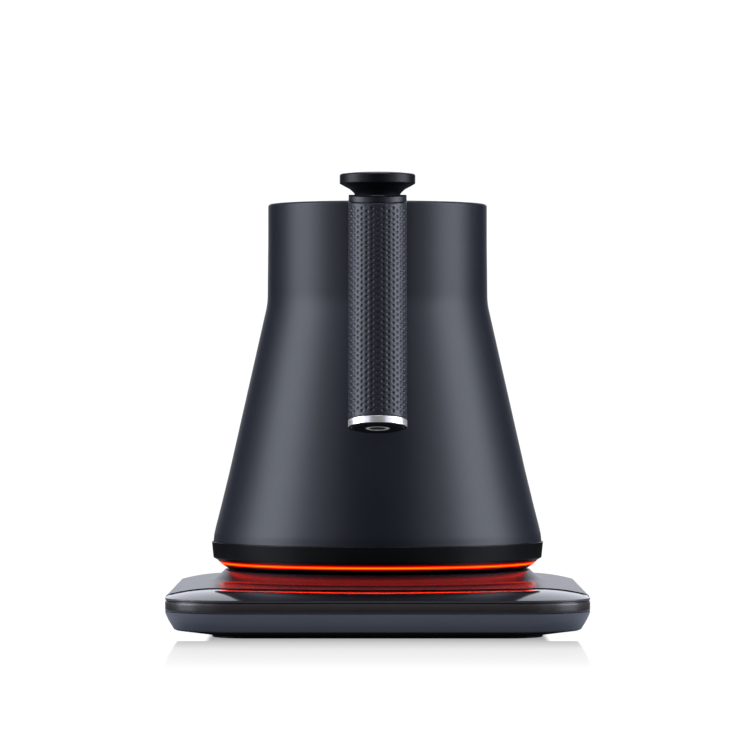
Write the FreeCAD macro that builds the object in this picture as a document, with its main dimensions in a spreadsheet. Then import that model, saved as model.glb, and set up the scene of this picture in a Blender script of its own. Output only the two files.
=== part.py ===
import FreeCAD, Part
import math
import os

import Sketcher

# Electric kettle with a gooseneck spout, a tilted dimpled handle and a flat powered base.
# Millimetres. +Z is up, the origin is on the kettle's axis at the resting plane,
# -Y is the handle and control side, +Y is the spout and cord side.

os.makedirs("parts", exist_ok=True)
doc = FreeCAD.newDocument("Kettle")
sheet = doc.addObject("Spreadsheet::Sheet", "Sizes")


class Size:
    """A length that knows both its value and the sheet expression behind it."""

    def __init__(self, value, text):
        self.value = value
        self.text = text

    def __add__(self, other):
        other = as_size(other)
        return Size(self.value + other.value, "(" + self.text + " + " + other.text + ")")

    def __radd__(self, other):
        return as_size(other) + self

    def __sub__(self, other):
        other = as_size(other)
        return Size(self.value - other.value, "(" + self.text + " - " + other.text + ")")

    def __mul__(self, factor):
        factor = as_size(factor)
        return Size(self.value * factor.value, self.text + " * " + factor.text)

    def __neg__(self):
        return as_size(0) - self


def as_size(number):
    if isinstance(number, Size):
        return number
    return Size(float(number), "%.4f" % number if number >= 0 else "(0 - %.4f)" % -number)


next_row = [1]


def cell(alias, number):
    """Puts one driving dimension in the sheet and returns it as a Size."""
    row = next_row[0]
    next_row[0] = row + 1
    sheet.set("A%d" % row, alias)
    sheet.set("B%d" % row, str(number))
    sheet.setAlias("B%d" % row, alias)
    return Size(float(number), "Sizes." + alias)


# ---------------------------------------------------------------- driving dimensions

BASE_HALF = cell("base_half_width", 85.3)
BASE_FRONT = cell("base_front", 115)
BASE_BACK = cell("base_back", 90)
BASE_CORNER = cell("base_corner_radius", 27.5)
BASE_REAR_CORNER = cell("base_rear_corner_radius", 12)
BASE_WALL = cell("base_wall", 2.4)
PLINTH_INSET = cell("plinth_inset", 18.9)
PLINTH_TOP = cell("plinth_top", 0.9)
TRAY_TOP = cell("tray_top", 3.2)
BAND_LOW = cell("band_bottom", 10.7)
BAND_TOP = cell("band_top", 16)
PLATE_TOP = cell("plate_top", 19.2)
PLATE_ROLL = cell("plate_edge_roll", 22)
FASCIA_RADIUS = cell("fascia_edge_radius", 132.8)
FASCIA_CENTRE = cell("fascia_edge_centre", 40.8)
PODIUM_FOOT = cell("podium_foot_radius", 69.7)
PODIUM_RADIUS = cell("podium_top_radius", 64)
PODIUM_TOP = cell("podium_top", 23.8)
TOWER_RADIUS = cell("tower_radius", 16.2)
TOWER_TOP = cell("tower_top", 35)
SKIRT_LOW = cell("skirt_bottom", 24.2)
LIGHT_LOW = cell("light_bottom", 25.8)
LIGHT_TOP = cell("light_top", 27.6)
RING_TOP = cell("black_ring_top", 35.4)
RING_RADIUS = cell("black_ring_radius", 69.5)
BODY_FOOT = cell("body_foot_radius", 68.8)
BODY_KNEE = cell("body_knee_radius", 46.15)
BODY_KNEE_Z = cell("body_knee_height", 135.2)
RIM_RADIUS = cell("rim_radius", 45.9)
RIM_TOP = cell("rim_top", 176.7)
BODY_WALL = cell("body_wall", 1.0)
FLOOR = cell("water_floor", 44.8)
KNOB_RADIUS = cell("knob_radius", 15.9)
KNOB_LOW = cell("knob_disc_bottom", 184.9)
KNOB_TOP = cell("knob_top", 190.2)
GRIP_RADIUS = cell("grip_radius", 11.7)
GRIP_LENGTH = cell("grip_length", 92.1)
GRIP_TILT = cell("grip_tilt", 11)
GRIP_REACH = cell("grip_reach", 85)
SEAM_TOP = cell("grip_seam_height", 174.5)
SEAM_TILT = cell("grip_seam_tilt", 5)
CORE_RADIUS = cell("handle_core_radius", 7.9)
CORD_BORE = cell("cord_bore_radius", 3.5)
doc.recompute()


# ---------------------------------------------------------------- helpers


def plane_of(body, role):
    for feature in body.Origin.OriginFeatures:
        if feature.Role == role:
            return feature
    raise ValueError("no origin plane " + role)


def new_body(label):
    body = doc.addObject("PartDesign::Body", label)
    body.Label = label
    return body


def new_sketch(body, role, name, lift=None):
    sketch = body.newObject("Sketcher::SketchObject", name)
    sketch.AttachmentSupport = [(plane_of(body, role), "")]
    sketch.MapMode = "FlatFace"
    if lift is not None:
        sketch.AttachmentOffset = FreeCAD.Placement(
            FreeCAD.Vector(0, 0, as_size(lift).value), FreeCAD.Rotation()
        )
        sketch.setExpression("AttachmentOffset.Base.z", as_size(lift).text)
    return sketch


def hold(sketch, kind, *parts):
    """Adds a dimension whose last argument is a Size and binds it to the sheet."""
    size = as_size(parts[-1])
    index = sketch.addConstraint(Sketcher.Constraint(kind, *parts[:-1], size.value))
    sketch.setExpression("Constraints[%d]" % index, size.text)


def polygon(sketch, corners):
    """A closed outline through corners, every corner held by its two coordinates."""
    corners = [(as_size(x), as_size(y)) for x, y in corners]
    count = len(corners)
    for i in range(count):
        start = corners[i]
        end = corners[(i + 1) % count]
        sketch.addGeometry(
            Part.LineSegment(
                FreeCAD.Vector(start[0].value, start[1].value, 0),
                FreeCAD.Vector(end[0].value, end[1].value, 0),
            ),
            False,
        )
    for i in range(count):
        sketch.addConstraint(Sketcher.Constraint("Coincident", i, 2, (i + 1) % count, 1))
    for i, (x, y) in enumerate(corners):
        hold(sketch, "DistanceX", i, 1, x)
        hold(sketch, "DistanceY", i, 1, y)


def circles(sketch, spots, radius):
    """Circles of one radius, each centre held by its two coordinates."""
    for x, y in spots:
        x = as_size(x)
        y = as_size(y)
        at = FreeCAD.Vector(x.value, y.value, 0)
        index = sketch.addGeometry(
            Part.Circle(at, FreeCAD.Vector(0, 0, 1), as_size(radius).value), False
        )
        hold(sketch, "DistanceX", index, 3, x)
        hold(sketch, "DistanceY", index, 3, y)
        hold(sketch, "Radius", index, radius)


def rounded_rectangle(sketch, half, front, back, corner, rear):
    """A rectangle from -half to half and from -front to back, with rounded corners."""
    half, front, back, corner, rear = [as_size(v) for v in (half, front, back, corner, rear)]
    x = half.value
    low = -front.value
    high = back.value
    r = corner.value
    s = rear.value
    lines = [
        ((-x + r, low), (x - r, low)),
        ((x, low + r), (x, high - s)),
        ((x - s, high), (-x + s, high)),
        ((-x, high - s), (-x, low + r)),
    ]
    centres = [(x - r, low + r), (x - s, high - s), (-x + s, high - s), (-x + r, low + r)]
    up = FreeCAD.Vector(0, 0, 1)
    for start, end in lines:
        sketch.addGeometry(
            Part.LineSegment(FreeCAD.Vector(*start, 0), FreeCAD.Vector(*end, 0)), False
        )
    for i, centre in enumerate(centres):
        whole = Part.Circle(FreeCAD.Vector(*centre, 0), up, s if i in (1, 2) else r)
        first = -math.pi / 2 + i * math.pi / 2
        sketch.addGeometry(Part.ArcOfCircle(whole, first, first + math.pi / 2), False)
    for i in range(4):
        sketch.addConstraint(Sketcher.Constraint("Tangent", i, 2, 4 + i, 1))
        sketch.addConstraint(Sketcher.Constraint("Tangent", 4 + i, 2, (i + 1) % 4, 1))
    for i, kind in enumerate(("Horizontal", "Vertical", "Horizontal", "Vertical")):
        sketch.addConstraint(Sketcher.Constraint(kind, i))
    sketch.addConstraint(Sketcher.Constraint("Equal", 4, 7))
    sketch.addConstraint(Sketcher.Constraint("Equal", 5, 6))
    hold(sketch, "Radius", 4, corner)
    hold(sketch, "Radius", 5, rear)
    hold(sketch, "DistanceY", 0, 1, -front)
    hold(sketch, "DistanceX", 1, 1, half)
    hold(sketch, "DistanceY", 2, 1, back)
    hold(sketch, "DistanceX", 3, 1, -half)


def revolve(body, corners, name="Profile", groove=False, turn=360):
    """Turns an outline of (radius, height) corners about the body's Z axis."""
    sketch = new_sketch(body, "XZ_Plane", body.Name + name)
    polygon(sketch, corners)
    kind = "PartDesign::Groove" if groove else "PartDesign::Revolution"
    feature = body.newObject(kind, body.Name + name + "Turn")
    feature.Profile = sketch
    feature.ReferenceAxis = (sketch, ["V_Axis"])
    feature.Angle = turn
    doc.recompute()
    return feature


def ring_edges(shape, spots):
    """Names of the circular edges about Z at the given (radius, height) spots."""
    names = []
    for index, edge in enumerate(shape.Edges):
        curve = edge.Curve
        if not isinstance(curve, Part.Circle):
            continue
        for radius, height in spots:
            near_radius = abs(curve.Radius - as_size(radius).value) < 0.02
            near_height = abs(curve.Center.z - as_size(height).value) < 0.02
            if near_radius and near_height:
                names.append("Edge%d" % (index + 1))
    return names


def soften(body, spots, radius):
    """Rounds the circular edges at the given (radius, height) spots."""
    tip = body.Tip
    names = ring_edges(tip.Shape, spots)
    if len(names) != len(spots):
        raise ValueError("%s: %d of %d edges found" % (body.Name, len(names), len(spots)))
    fillet = body.newObject("PartDesign::Fillet", "%sSoft%d" % (body.Name, len(body.Group)))
    fillet.Base = (tip, names)
    fillet.Radius = as_size(radius).value
    fillet.setExpression("Radius", as_size(radius).text)
    doc.recompute()
    return fillet


def turned(label, corners, softened=()):
    body = new_body(label)
    revolve(body, corners)
    for spots, radius in softened:
        soften(body, spots, radius)
    return body


def pad(body, sketch, length, name):
    feature = body.newObject("PartDesign::Pad", body.Name + name)
    feature.Profile = sketch
    feature.Length = as_size(length).value
    feature.setExpression("Length", as_size(length).text)
    doc.recompute()
    return feature


def pocket(body, sketch, length, name, reverse=False):
    """A pocket along the sketch's normal, which has to remove something."""
    before = body.Shape.Volume
    feature = body.newObject("PartDesign::Pocket", body.Name + name)
    feature.Profile = sketch
    feature.Length = as_size(length).value
    feature.setExpression("Length", as_size(length).text)
    feature.Reversed = reverse
    doc.recompute()
    if body.Shape.Volume > before - 0.01:
        raise ValueError(body.Name + name + " cuts nothing")
    return feature


def drilled(body, role, spots, radius, start, depth, name):
    """Round holes along the positive normal of an origin plane, from start over depth."""
    sketch = new_sketch(body, role, body.Name + name + "Spots", start)
    circles(sketch, spots, radius)
    return pocket(body, sketch, depth, name, reverse=True)


def posts(body, spots, radius, start, height, name):
    sketch = new_sketch(body, "XY_Plane", body.Name + name + "Spots", start)
    circles(sketch, spots, radius)
    return pad(body, sketch, height, name)


def plate_box(body, half, front, back, low, height, name):
    """A plain rectangular pad from -front to -back along Y."""
    sketch = new_sketch(body, "XY_Plane", body.Name + name + "Outline", low)
    polygon(sketch, [(-as_size(half), -as_size(front)), (half, -as_size(front)),
                     (half, -as_size(back)), (-as_size(half), -as_size(back))])
    return pad(body, sketch, height, name)


def base_outline(body, inset, height, name, roll=0):
    """The base's rounded outline moved in by inset, with roll more at the front."""
    sketch = new_sketch(body, "XY_Plane", body.Name + name, height)
    inset = as_size(inset)
    rounded_rectangle(
        sketch,
        BASE_HALF - inset,
        BASE_FRONT - inset - roll,
        BASE_BACK - inset,
        BASE_CORNER - inset * 0.7,
        BASE_REAR_CORNER - inset * 0.35,
    )
    return sketch


def loft(body, sketches, name, cut=False):
    kind = "PartDesign::SubtractiveLoft" if cut else "PartDesign::AdditiveLoft"
    feature = body.newObject(kind, body.Name + name)
    feature.Profile = sketches[0]
    feature.Sections = sketches[1:]
    doc.recompute()
    return feature


def spread(count, radius, start=0.0):
    """Spots evenly round the axis."""
    spots = []
    for i in range(count):
        angle = math.radians(start + 360.0 * i / count)
        spots.append((radius * math.cos(angle), radius * math.sin(angle)))
    return spots


# ---------------------------------------------------------------- base: underside

FOOT_WIDTH = 8
SCREW_SPOTS = [(62.3, -80.0), (-62.3, -80.0), (62.3, 55.0), (-62.3, 55.0)]

foot = new_body("rubber_foot_frame")
foot_outline = base_outline(foot, PLINTH_INSET, 0, "Outer")
pad(foot, foot_outline, 1.4, "Frame")
foot_inside = base_outline(foot, PLINTH_INSET + FOOT_WIDTH, 0, "Inner")
pocket(foot, foot_inside, 1.4, "Opening", reverse=True)

tray = new_body("base_bottom_plate")
loft(tray, [base_outline(tray, PLINTH_INSET - 0.4, PLINTH_TOP, "Low"),
            base_outline(tray, 3.8, TRAY_TOP, "High")], "Slope")
tray_groove = base_outline(tray, PLINTH_INSET - 0.1, PLINTH_TOP, "GrooveOut")
pocket(tray, tray_groove, 0.5, "Groove", reverse=True)
tray_island = base_outline(tray, PLINTH_INSET + FOOT_WIDTH + 0.1, PLINTH_TOP, "Island")
pad(tray, tray_island, 0.5, "Middle")
drilled(tray, "XY_Plane", SCREW_SPOTS, 2.9, 1.4, 0.9, "HeadSeats")
drilled(tray, "XY_Plane", SCREW_SPOTS, 1.7, 1.4, 3, "ScrewHoles")

screws_group = []
for number, (x, y) in enumerate(SCREW_SPOTS):
    screw = turned("base_screw_%d" % (number + 1), [(0, 1.45), (2.7, 1.45), (2.7, 2.3), (1.45, 2.3),
                                                    (1.45, 11), (0, 11)])
    screw.Placement = FreeCAD.Placement(FreeCAD.Vector(x, y, 0), FreeCAD.Rotation())
    screws_group.append(screw)

# ---------------------------------------------------------------- base: shell and band

GLAND_Z = 9.6
shell = new_body("base_lower_shell")
loft(shell, [base_outline(shell, 3.8, TRAY_TOP, "Low"), base_outline(shell, 1.3, 6.6, "Middle"),
             base_outline(shell, 0, BAND_LOW, "High")], "Flare")
loft(shell, [base_outline(shell, BASE_WALL + 3.8, TRAY_TOP, "InLow"),
             base_outline(shell, BASE_WALL + 1.3, 6.6, "InMiddle"),
             base_outline(shell, BASE_WALL, BAND_LOW, "InHigh")], "Hollow", cut=True)
drilled(shell, "XZ_Plane", [(0, GLAND_Z)], 5.1, -120, 50, "GlandHole")

band = new_body("base_trim_band")
pad(band, base_outline(band, 0.2, BAND_LOW, "Face"), BAND_TOP - BAND_LOW - 1.2, "Lower")
pad(band, base_outline(band, 0.7, BAND_TOP - 1.2, "Groove"), 0.5, "Seam")
pad(band, base_outline(band, 0.2, BAND_TOP - 0.7, "Lip"), 0.7, "Upper")
pocket(band, base_outline(band, BASE_WALL, BAND_LOW, "Inside"), BAND_TOP - BAND_LOW, "Hollow",
       reverse=True)
drilled(band, "XZ_Plane", [(0, GLAND_Z)], 5.1, -120, 50, "GlandHole")

gland = new_body("cord_gland")
revolve(gland, [(CORD_BORE, -1), (5.0, -1), (5.0, 7.5), (5.9, 7.5), (5.9, 9.0), (CORD_BORE, 9.0)])
gland.Placement = FreeCAD.Placement(
    FreeCAD.Vector(0, BASE_BACK.value - 7, GLAND_Z),
    FreeCAD.Rotation(FreeCAD.Vector(1, 0, 0), -90),
)

# ---------------------------------------------------------------- base: cover and fascia

DOME_STEPS = 6


def domed_plate(body):
    """The top plate: edges that fall away in a gentle crown, hollow underneath."""
    sections = []
    for step in range(DOME_STEPS + 1):
        share = step / DOME_STEPS
        rise = (PLATE_TOP - BAND_TOP) * (1 - (1 - share) ** 2)
        sections.append(base_outline(body, PLATE_ROLL * share, BAND_TOP + rise, "Section%d" % step,
                                     PLATE_ROLL * (0.15 * share)))
    loft(body, sections, "Dome")
    pocket(body, base_outline(body, BASE_WALL + 7.2, BAND_TOP, "Under"), 1.2, "Underside",
           reverse=True)


def fascia_side(body, far, gap):
    """An outline ending in the arc where the fascia meets the cover."""
    sketch = new_sketch(body, "XY_Plane", body.Name + "Edge", BAND_TOP - 1)
    reach = 100.0
    radius = FASCIA_RADIUS - gap
    dip = math.sqrt(radius.value ** 2 - reach ** 2)
    arc_y = FASCIA_CENTRE.value - dip
    spots = [(reach, arc_y), (reach, far), (-reach, far), (-reach, arc_y)]
    for i in range(3):
        sketch.addGeometry(
            Part.LineSegment(FreeCAD.Vector(*spots[i], 0), FreeCAD.Vector(*spots[i + 1], 0)), False
        )
    swing = math.asin(reach / radius.value)
    whole = Part.Circle(FreeCAD.Vector(0, FASCIA_CENTRE.value, 0), FreeCAD.Vector(0, 0, 1),
                        radius.value)
    sketch.addGeometry(
        Part.ArcOfCircle(whole, -math.pi / 2 - swing, -math.pi / 2 + swing), False
    )
    for i in range(2):
        sketch.addConstraint(Sketcher.Constraint("Coincident", i, 2, i + 1, 1))
    sketch.addConstraint(Sketcher.Constraint("Coincident", 2, 2, 3, 1))
    sketch.addConstraint(Sketcher.Constraint("Coincident", 3, 2, 0, 1))
    hold(sketch, "DistanceX", 3, 3, 0)
    hold(sketch, "DistanceY", 3, 3, FASCIA_CENTRE)
    hold(sketch, "Radius", 3, radius)
    hold(sketch, "DistanceX", 0, 1, reach)
    hold(sketch, "DistanceX", 3, 1, -reach)
    hold(sketch, "DistanceX", 1, 1, reach)
    hold(sketch, "DistanceX", 2, 1, -reach)
    hold(sketch, "DistanceY", 1, 1, far)
    hold(sketch, "DistanceY", 2, 1, far)
    return sketch


cover = new_body("base_top_cover")
domed_plate(cover)
revolve(cover, [(0, PLATE_TOP - 0.9), (PODIUM_FOOT + 2.5, PLATE_TOP - 0.9),
                (PODIUM_FOOT + 2.5, PLATE_TOP - 0.65), (PODIUM_FOOT, PLATE_TOP),
                (PODIUM_FOOT - 0.9, PLATE_TOP + 0.35), (PODIUM_RADIUS + 0.6, PODIUM_TOP - 0.6),
                (PODIUM_RADIUS, PODIUM_TOP), (57, PODIUM_TOP), (56.4, PODIUM_TOP - 1.2),
                (0, PODIUM_TOP - 1.2)], "Podium")
revolve(cover, [(0, BAND_TOP), (60, BAND_TOP), (60, PODIUM_TOP - 3.4), (20.6, PODIUM_TOP - 3.4),
                (20.6, PODIUM_TOP + 1), (0, PODIUM_TOP + 1)], "Well", groove=True)
posts(cover, SCREW_SPOTS, 3.8, TRAY_TOP, 14, "Posts")
drilled(cover, "XY_Plane", SCREW_SPOTS, 1.5, TRAY_TOP, 9, "PostHoles")
pocket(cover, fascia_side(cover, -140, 0), 20, "FrontEdge", reverse=True)

fascia = new_body("control_fascia")
domed_plate(fascia)
pocket(fascia, fascia_side(fascia, 120, -0.15), 20, "RearEdge", reverse=True)

display = new_body("display_module")
plate_box(display, 26, 108, 92.4, 13.4, 2.6, "Case")
touch = new_body("touch_board")
plate_box(touch, 62, 106, 92.6, 11.6, 1.6, "Board")
control = new_body("control_board")
plate_box(control, 55, 98, 62, 5.2, 1.6, "Board")
plate_box(control, 12, 88, 72, 6.8, 3.0, "Chip")
power = new_body("power_board")
plate_box(power, 42, -42, -76, 5.2, 1.6, "Board")
relay = new_body("power_relay")
plate_box(relay, 14, -48, -60, 6.8, 9.0, "Case")

# ---------------------------------------------------------------- cordless connector

housing = turned("connector_housing", [
    (3.2, 12), (26, 12), (26, PODIUM_TOP - 3.4), (20.3, PODIUM_TOP - 3.4), (20.3, PODIUM_TOP - 1.2),
    (TOWER_RADIUS, PODIUM_TOP - 1.2), (TOWER_RADIUS, TOWER_TOP - 0.8), (TOWER_RADIUS - 0.8, TOWER_TOP),
    (12.0, TOWER_TOP), (12.0, 22), (8.6, 22), (8.6, TOWER_TOP), (3.2, TOWER_TOP),
])

contact_rings = [
    turned("contact_ring_1", [(2.3, 14), (3.1, 14), (3.1, 33.5), (2.3, 33.5)]),
    turned("contact_ring_2", [(8.7, 22.1), (9.1, 22.1), (9.1, 33.5), (8.7, 33.5)]),
    turned("contact_ring_3", [(11.5, 22.1), (11.9, 22.1), (11.9, 33.5), (11.5, 33.5)]),
]

SOCKET_RADIUS = 22.0
socket = turned("appliance_socket", [
    (0, 35.6), (9.7, 35.6), (9.7, 33.0), (10.9, 33.0), (10.9, 35.6), (16.9, 35.6),
    (16.9, SKIRT_LOW + 0.4), (17.7, SKIRT_LOW), (SOCKET_RADIUS, SKIRT_LOW), (SOCKET_RADIUS, 36.4),
    (24.0, 36.4), (24.0, 38.4), (0, 38.4),
])

socket_contacts = [
    turned("socket_contact_1", [(0, 24.4), (1.2, 25.2), (1.2, 35.5), (0, 35.5)]),
    turned("socket_contact_2", [(9.9, 25.5), (10.7, 25.5), (10.7, 32.9), (9.9, 32.9)]),
]

# ---------------------------------------------------------------- kettle body


def body_outline(offset, low, high):
    """The body's side from low to high, moved in by offset across the wall."""
    return [
        (BODY_FOOT - offset, low),
        (as_size(68.5) - offset, 38.6),
        (as_size(67.6) - offset, 42.4),
        (as_size(65.6) - offset, 50.2),
        (as_size(62.05) - offset * 1.03, 64.8),
        (BODY_KNEE - offset * 1.03, BODY_KNEE_Z),
        (RIM_RADIUS - offset, 160),
        (RIM_RADIUS - offset, high),
    ]


HANDLE_SPOTS = [(-5.0, 160.0), (5.0, 160.0)]
kettle = new_body("kettle_wall")
wall_outline = body_outline(0, RING_TOP + 0.1, RIM_TOP)
wall_inside = body_outline(BODY_WALL.value, RING_TOP + 0.1, RIM_TOP)
bead = [(RIM_RADIUS - 2.4, RIM_TOP), (RIM_RADIUS - 2.4, RIM_TOP - 2.6),
        (RIM_RADIUS - BODY_WALL, RIM_TOP - 3.6)]
revolve(kettle, wall_outline + bead + list(reversed(wall_inside[:-1])))
soften(kettle, [(RIM_RADIUS, RIM_TOP)], 1.15)
soften(kettle, [(RIM_RADIUS - 2.4, RIM_TOP)], 1.15)
soften(kettle, [(BODY_KNEE, BODY_KNEE_Z)], 30)
soften(kettle, [(BODY_KNEE - BODY_WALL * 1.03, BODY_KNEE_Z)], 30)
drilled(kettle, "XZ_Plane", HANDLE_SPOTS, 2.1, 40, 10, "HandleHoles")

# ---------------------------------------------------------------- gooseneck spout

SPOUT_PATH = [
    # reach, height, radius, direction in degrees above level
    (54.0, 61.0, 11.5, 18.0),
    (64.0, 64.6, 10.6, 22.0),
    (75.0, 70.4, 9.3, 36.0),
    (83.5, 79.8, 8.0, 58.0),
    (87.6, 93.0, 7.1, 76.0),
    (89.8, 110.0, 6.5, 84.0),
    (91.4, 128.0, 6.0, 84.0),
    (94.4, 146.0, 5.6, 75.0),
    (101.5, 161.0, 5.2, 53.0),
    (113.0, 171.0, 4.9, 28.0),
    (125.0, 174.2, 4.7, 4.0),
    (134.0, 172.6, 4.6, -22.0),
]


def spout_solid(thinner, longer):
    """A smooth tube through the spout's sections, as a solid."""
    rings = []
    for reach, height, radius, rise in SPOUT_PATH:
        along = math.radians(rise)
        direction = FreeCAD.Vector(0, math.cos(along), math.sin(along))
        middle = FreeCAD.Vector(0, reach, height)
        if (reach, height) == SPOUT_PATH[0][:2]:
            middle = middle - direction * longer
        if (reach, height) == SPOUT_PATH[-1][:2]:
            middle = middle + direction * longer
        circle = Part.Circle(middle, direction, radius - thinner)
        circle.XAxis = FreeCAD.Vector(1, 0, 0)
        rings.append(Part.Wire(circle.toShape()))
    return Part.makeLoft(rings, True, False)


def envelope(extra):
    """The body's outside as one solid of revolution, grown by extra."""
    corners = [(as_size(0), as_size(RING_TOP + 0.1))]
    corners += body_outline(-extra, RING_TOP + 0.1, RIM_TOP)
    corners += [(as_size(0), RIM_TOP)]
    spots = [FreeCAD.Vector(as_size(r).value, 0, as_size(z).value) for r, z in corners]
    face = Part.Face(Part.makePolygon(spots + [spots[0]]))
    return face.revolve(FreeCAD.Vector(0, 0, 0), FreeCAD.Vector(0, 0, 1), 360)


SPOUT_WALL = 0.9
spout = doc.addObject("Part::Feature", "gooseneck_spout")
spout.Label = "gooseneck_spout"
spout_tube = spout_solid(0, 0).cut(spout_solid(SPOUT_WALL, 3))
spout.Shape = spout_tube.cut(envelope(0.02))

inlet_tool = doc.addObject("Part::Feature", "spout_inlet_tool")
inlet_tool.Shape = spout_solid(SPOUT_WALL, 14)
kettle_cut = doc.addObject("Part::Cut", "kettle_body_pierced")
kettle_cut.Base = kettle
kettle_cut.Tool = inlet_tool
kettle_cut.Label = "kettle_body"

# ---------------------------------------------------------------- kettle: heater

PROBE_REACH = 29.0
plate = turned("heater_plate", [(0, FLOOR - 0.8), (63.2, FLOOR - 0.8), (63.2, FLOOR + 1.4),
                                (62.4, FLOOR + 1.4), (62.0, FLOOR), (0, FLOOR)])
drilled(plate, "XY_Plane", [(0, PROBE_REACH)], 2.05, FLOOR - 2, 4, "ProbeHole")
turned("heater_gasket", [(63.2, FLOOR - 1.2), (65.2, FLOOR - 1.2), (64.6, FLOOR + 1.2),
                         (63.2, FLOOR + 1.2)])
spreader = turned("heat_spreader", [(0, FLOOR - 3.4), (52, FLOOR - 3.4), (52, FLOOR - 0.8),
                                    (0, FLOOR - 0.8)])
drilled(spreader, "XY_Plane", [(0, PROBE_REACH)], 2.05, FLOOR - 5, 6, "ProbeHole")

element = new_body("heating_element")
element_sketch = new_sketch(element, "XZ_Plane", "ElementSection")
circles(element_sketch, [(38, FLOOR - 6.7)], 3.3)
element_turn = element.newObject("PartDesign::Revolution", "ElementTurn")
element_turn.Profile = element_sketch
element_turn.ReferenceAxis = (element_sketch, ["V_Axis"])
element_turn.Angle = 320
doc.recompute()
element.Placement = FreeCAD.Placement(
    FreeCAD.Vector(0, 0, 0), FreeCAD.Rotation(FreeCAD.Vector(0, 0, 1), 110)
)

probe = turned("temperature_probe", [(0, FLOOR - 9), (3, FLOOR - 9), (3, FLOOR - 3.4), (2, FLOOR - 3.4),
                                     (2, FLOOR + 10), (1.4, FLOOR + 11), (0, FLOOR + 11)])
probe.Placement = FreeCAD.Placement(FreeCAD.Vector(0, PROBE_REACH, 0), FreeCAD.Rotation())

# ---------------------------------------------------------------- kettle: bottom

BOTTOM_SCREWS = spread(3, 52.0, 30.0)
bottom_ring = turned("bottom_ring", [
    (64.0, LIGHT_TOP + 0.1), (67.1, LIGHT_TOP + 0.1), (68.9, LIGHT_TOP + 1.1), (RING_RADIUS, RING_TOP),
    (66.6, RING_TOP), (66.2, RING_TOP + 3), (64.2, RING_TOP + 3), (64.2, 34.2), (47.6, 34.2),
    (47.6, 32.4), (64.0, 32.4),
])
drilled(bottom_ring, "XY_Plane", BOTTOM_SCREWS, 1.5, 30, 6, "ScrewHoles")
turned("light_ring", [
    (62.9, LIGHT_LOW + 0.3), (64.9, LIGHT_LOW), (65.2, LIGHT_LOW), (67.1, LIGHT_TOP),
    (63.8, LIGHT_TOP), (63.8, 31.2), (62.9, 31.2),
])
bottom_cover = turned("bottom_cover", [
    (22.4, SKIRT_LOW), (62.6, SKIRT_LOW), (64.9, LIGHT_LOW - 0.1), (62.7, LIGHT_LOW + 0.2),
    (62.7, 29.0), (60.9, 29.0), (60.9, 26.4), (24.8, 26.4), (24.8, 36.0), (22.4, 36.0),
])
drilled(bottom_cover, "XY_Plane", BOTTOM_SCREWS, 2.8, 23, 2.4, "HeadSeats")
drilled(bottom_cover, "XY_Plane", BOTTOM_SCREWS, 1.6, 23, 5, "ScrewHoles")
board = turned("light_board", [(55.5, 29.1), (62.6, 29.1), (62.6, 30.1), (55.5, 30.1)])

# ---------------------------------------------------------------- kettle: lid seat

turned("lid_seat_ring", [(41.8, RIM_TOP - 5.4), (RIM_RADIUS - 1.1, RIM_TOP - 5.4),
                         (RIM_RADIUS - 1.1, RIM_TOP - 4.0), (41.8, RIM_TOP - 4.0)])

# ---------------------------------------------------------------- handle

handle_place = FreeCAD.Placement(
    FreeCAD.Vector(0, -GRIP_REACH.value, SEAM_TOP.value),
    FreeCAD.Rotation(FreeCAD.Vector(1, 0, 0), -GRIP_TILT.value),
)


def handle_turned(label, corners, softened=()):
    """A body turned about the grip's axis, heights measured up from the seam."""
    body = turned(label, corners, softened)
    body.Placement = handle_place
    return body


def tilted_block(name, low, high):
    """A block whose lower face is the seam plane raised by low."""
    block = doc.addObject("Part::Box", name)
    block.Length = 60
    block.Width = 60
    block.Height = high - low
    turn = FreeCAD.Rotation(FreeCAD.Vector(1, 0, 0), SEAM_TILT.value)
    corner = turn.multVec(FreeCAD.Vector(-30, -30, low))
    block.Placement = FreeCAD.Placement(
        FreeCAD.Vector(0, -GRIP_REACH.value, SEAM_TOP.value) + corner, turn
    )
    return block


def cut(label, base, tool):
    result = doc.addObject("Part::Cut", label + "_cut")
    result.Base = base
    result.Tool = tool
    result.Label = label
    return result


grip_blank = handle_turned("grip_blank", [
    (CORE_RADIUS + 0.1, 6), (GRIP_RADIUS, 6), (GRIP_RADIUS, -GRIP_LENGTH + 3.0),
    (CORE_RADIUS + 0.1, -GRIP_LENGTH + 3.0),
])
cut("handle_grip", grip_blank, tilted_block("above_seam", -0.2, 20))

handle_turned("handle_core", [(0, 0.9), (CORE_RADIUS, 0.9), (CORE_RADIUS, -GRIP_LENGTH + 1.9),
                              (0, -GRIP_LENGTH + 1.9)])
handle_turned("handle_end_ring", [
    (CORE_RADIUS + 0.1, -GRIP_LENGTH + 2.9), (GRIP_RADIUS, -GRIP_LENGTH + 2.9),
    (GRIP_RADIUS, -GRIP_LENGTH), (10.5, -GRIP_LENGTH), (10.5, -GRIP_LENGTH + 1.8),
    (CORE_RADIUS + 0.1, -GRIP_LENGTH + 1.8),
], [([(GRIP_RADIUS, -GRIP_LENGTH)], 0.3)])
handle_turned("handle_end_cap", [
    (4.8, -GRIP_LENGTH + 1.7), (10.4, -GRIP_LENGTH + 1.7), (10.4, -GRIP_LENGTH - 0.1),
    (9.9, -GRIP_LENGTH - 0.5), (4.8, -GRIP_LENGTH - 0.5),
])
handle_turned("handle_end_disc", [(0, -GRIP_LENGTH + 1.7), (4.7, -GRIP_LENGTH + 1.7),
                                  (4.7, -GRIP_LENGTH - 0.3), (0, -GRIP_LENGTH - 0.3)])

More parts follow.
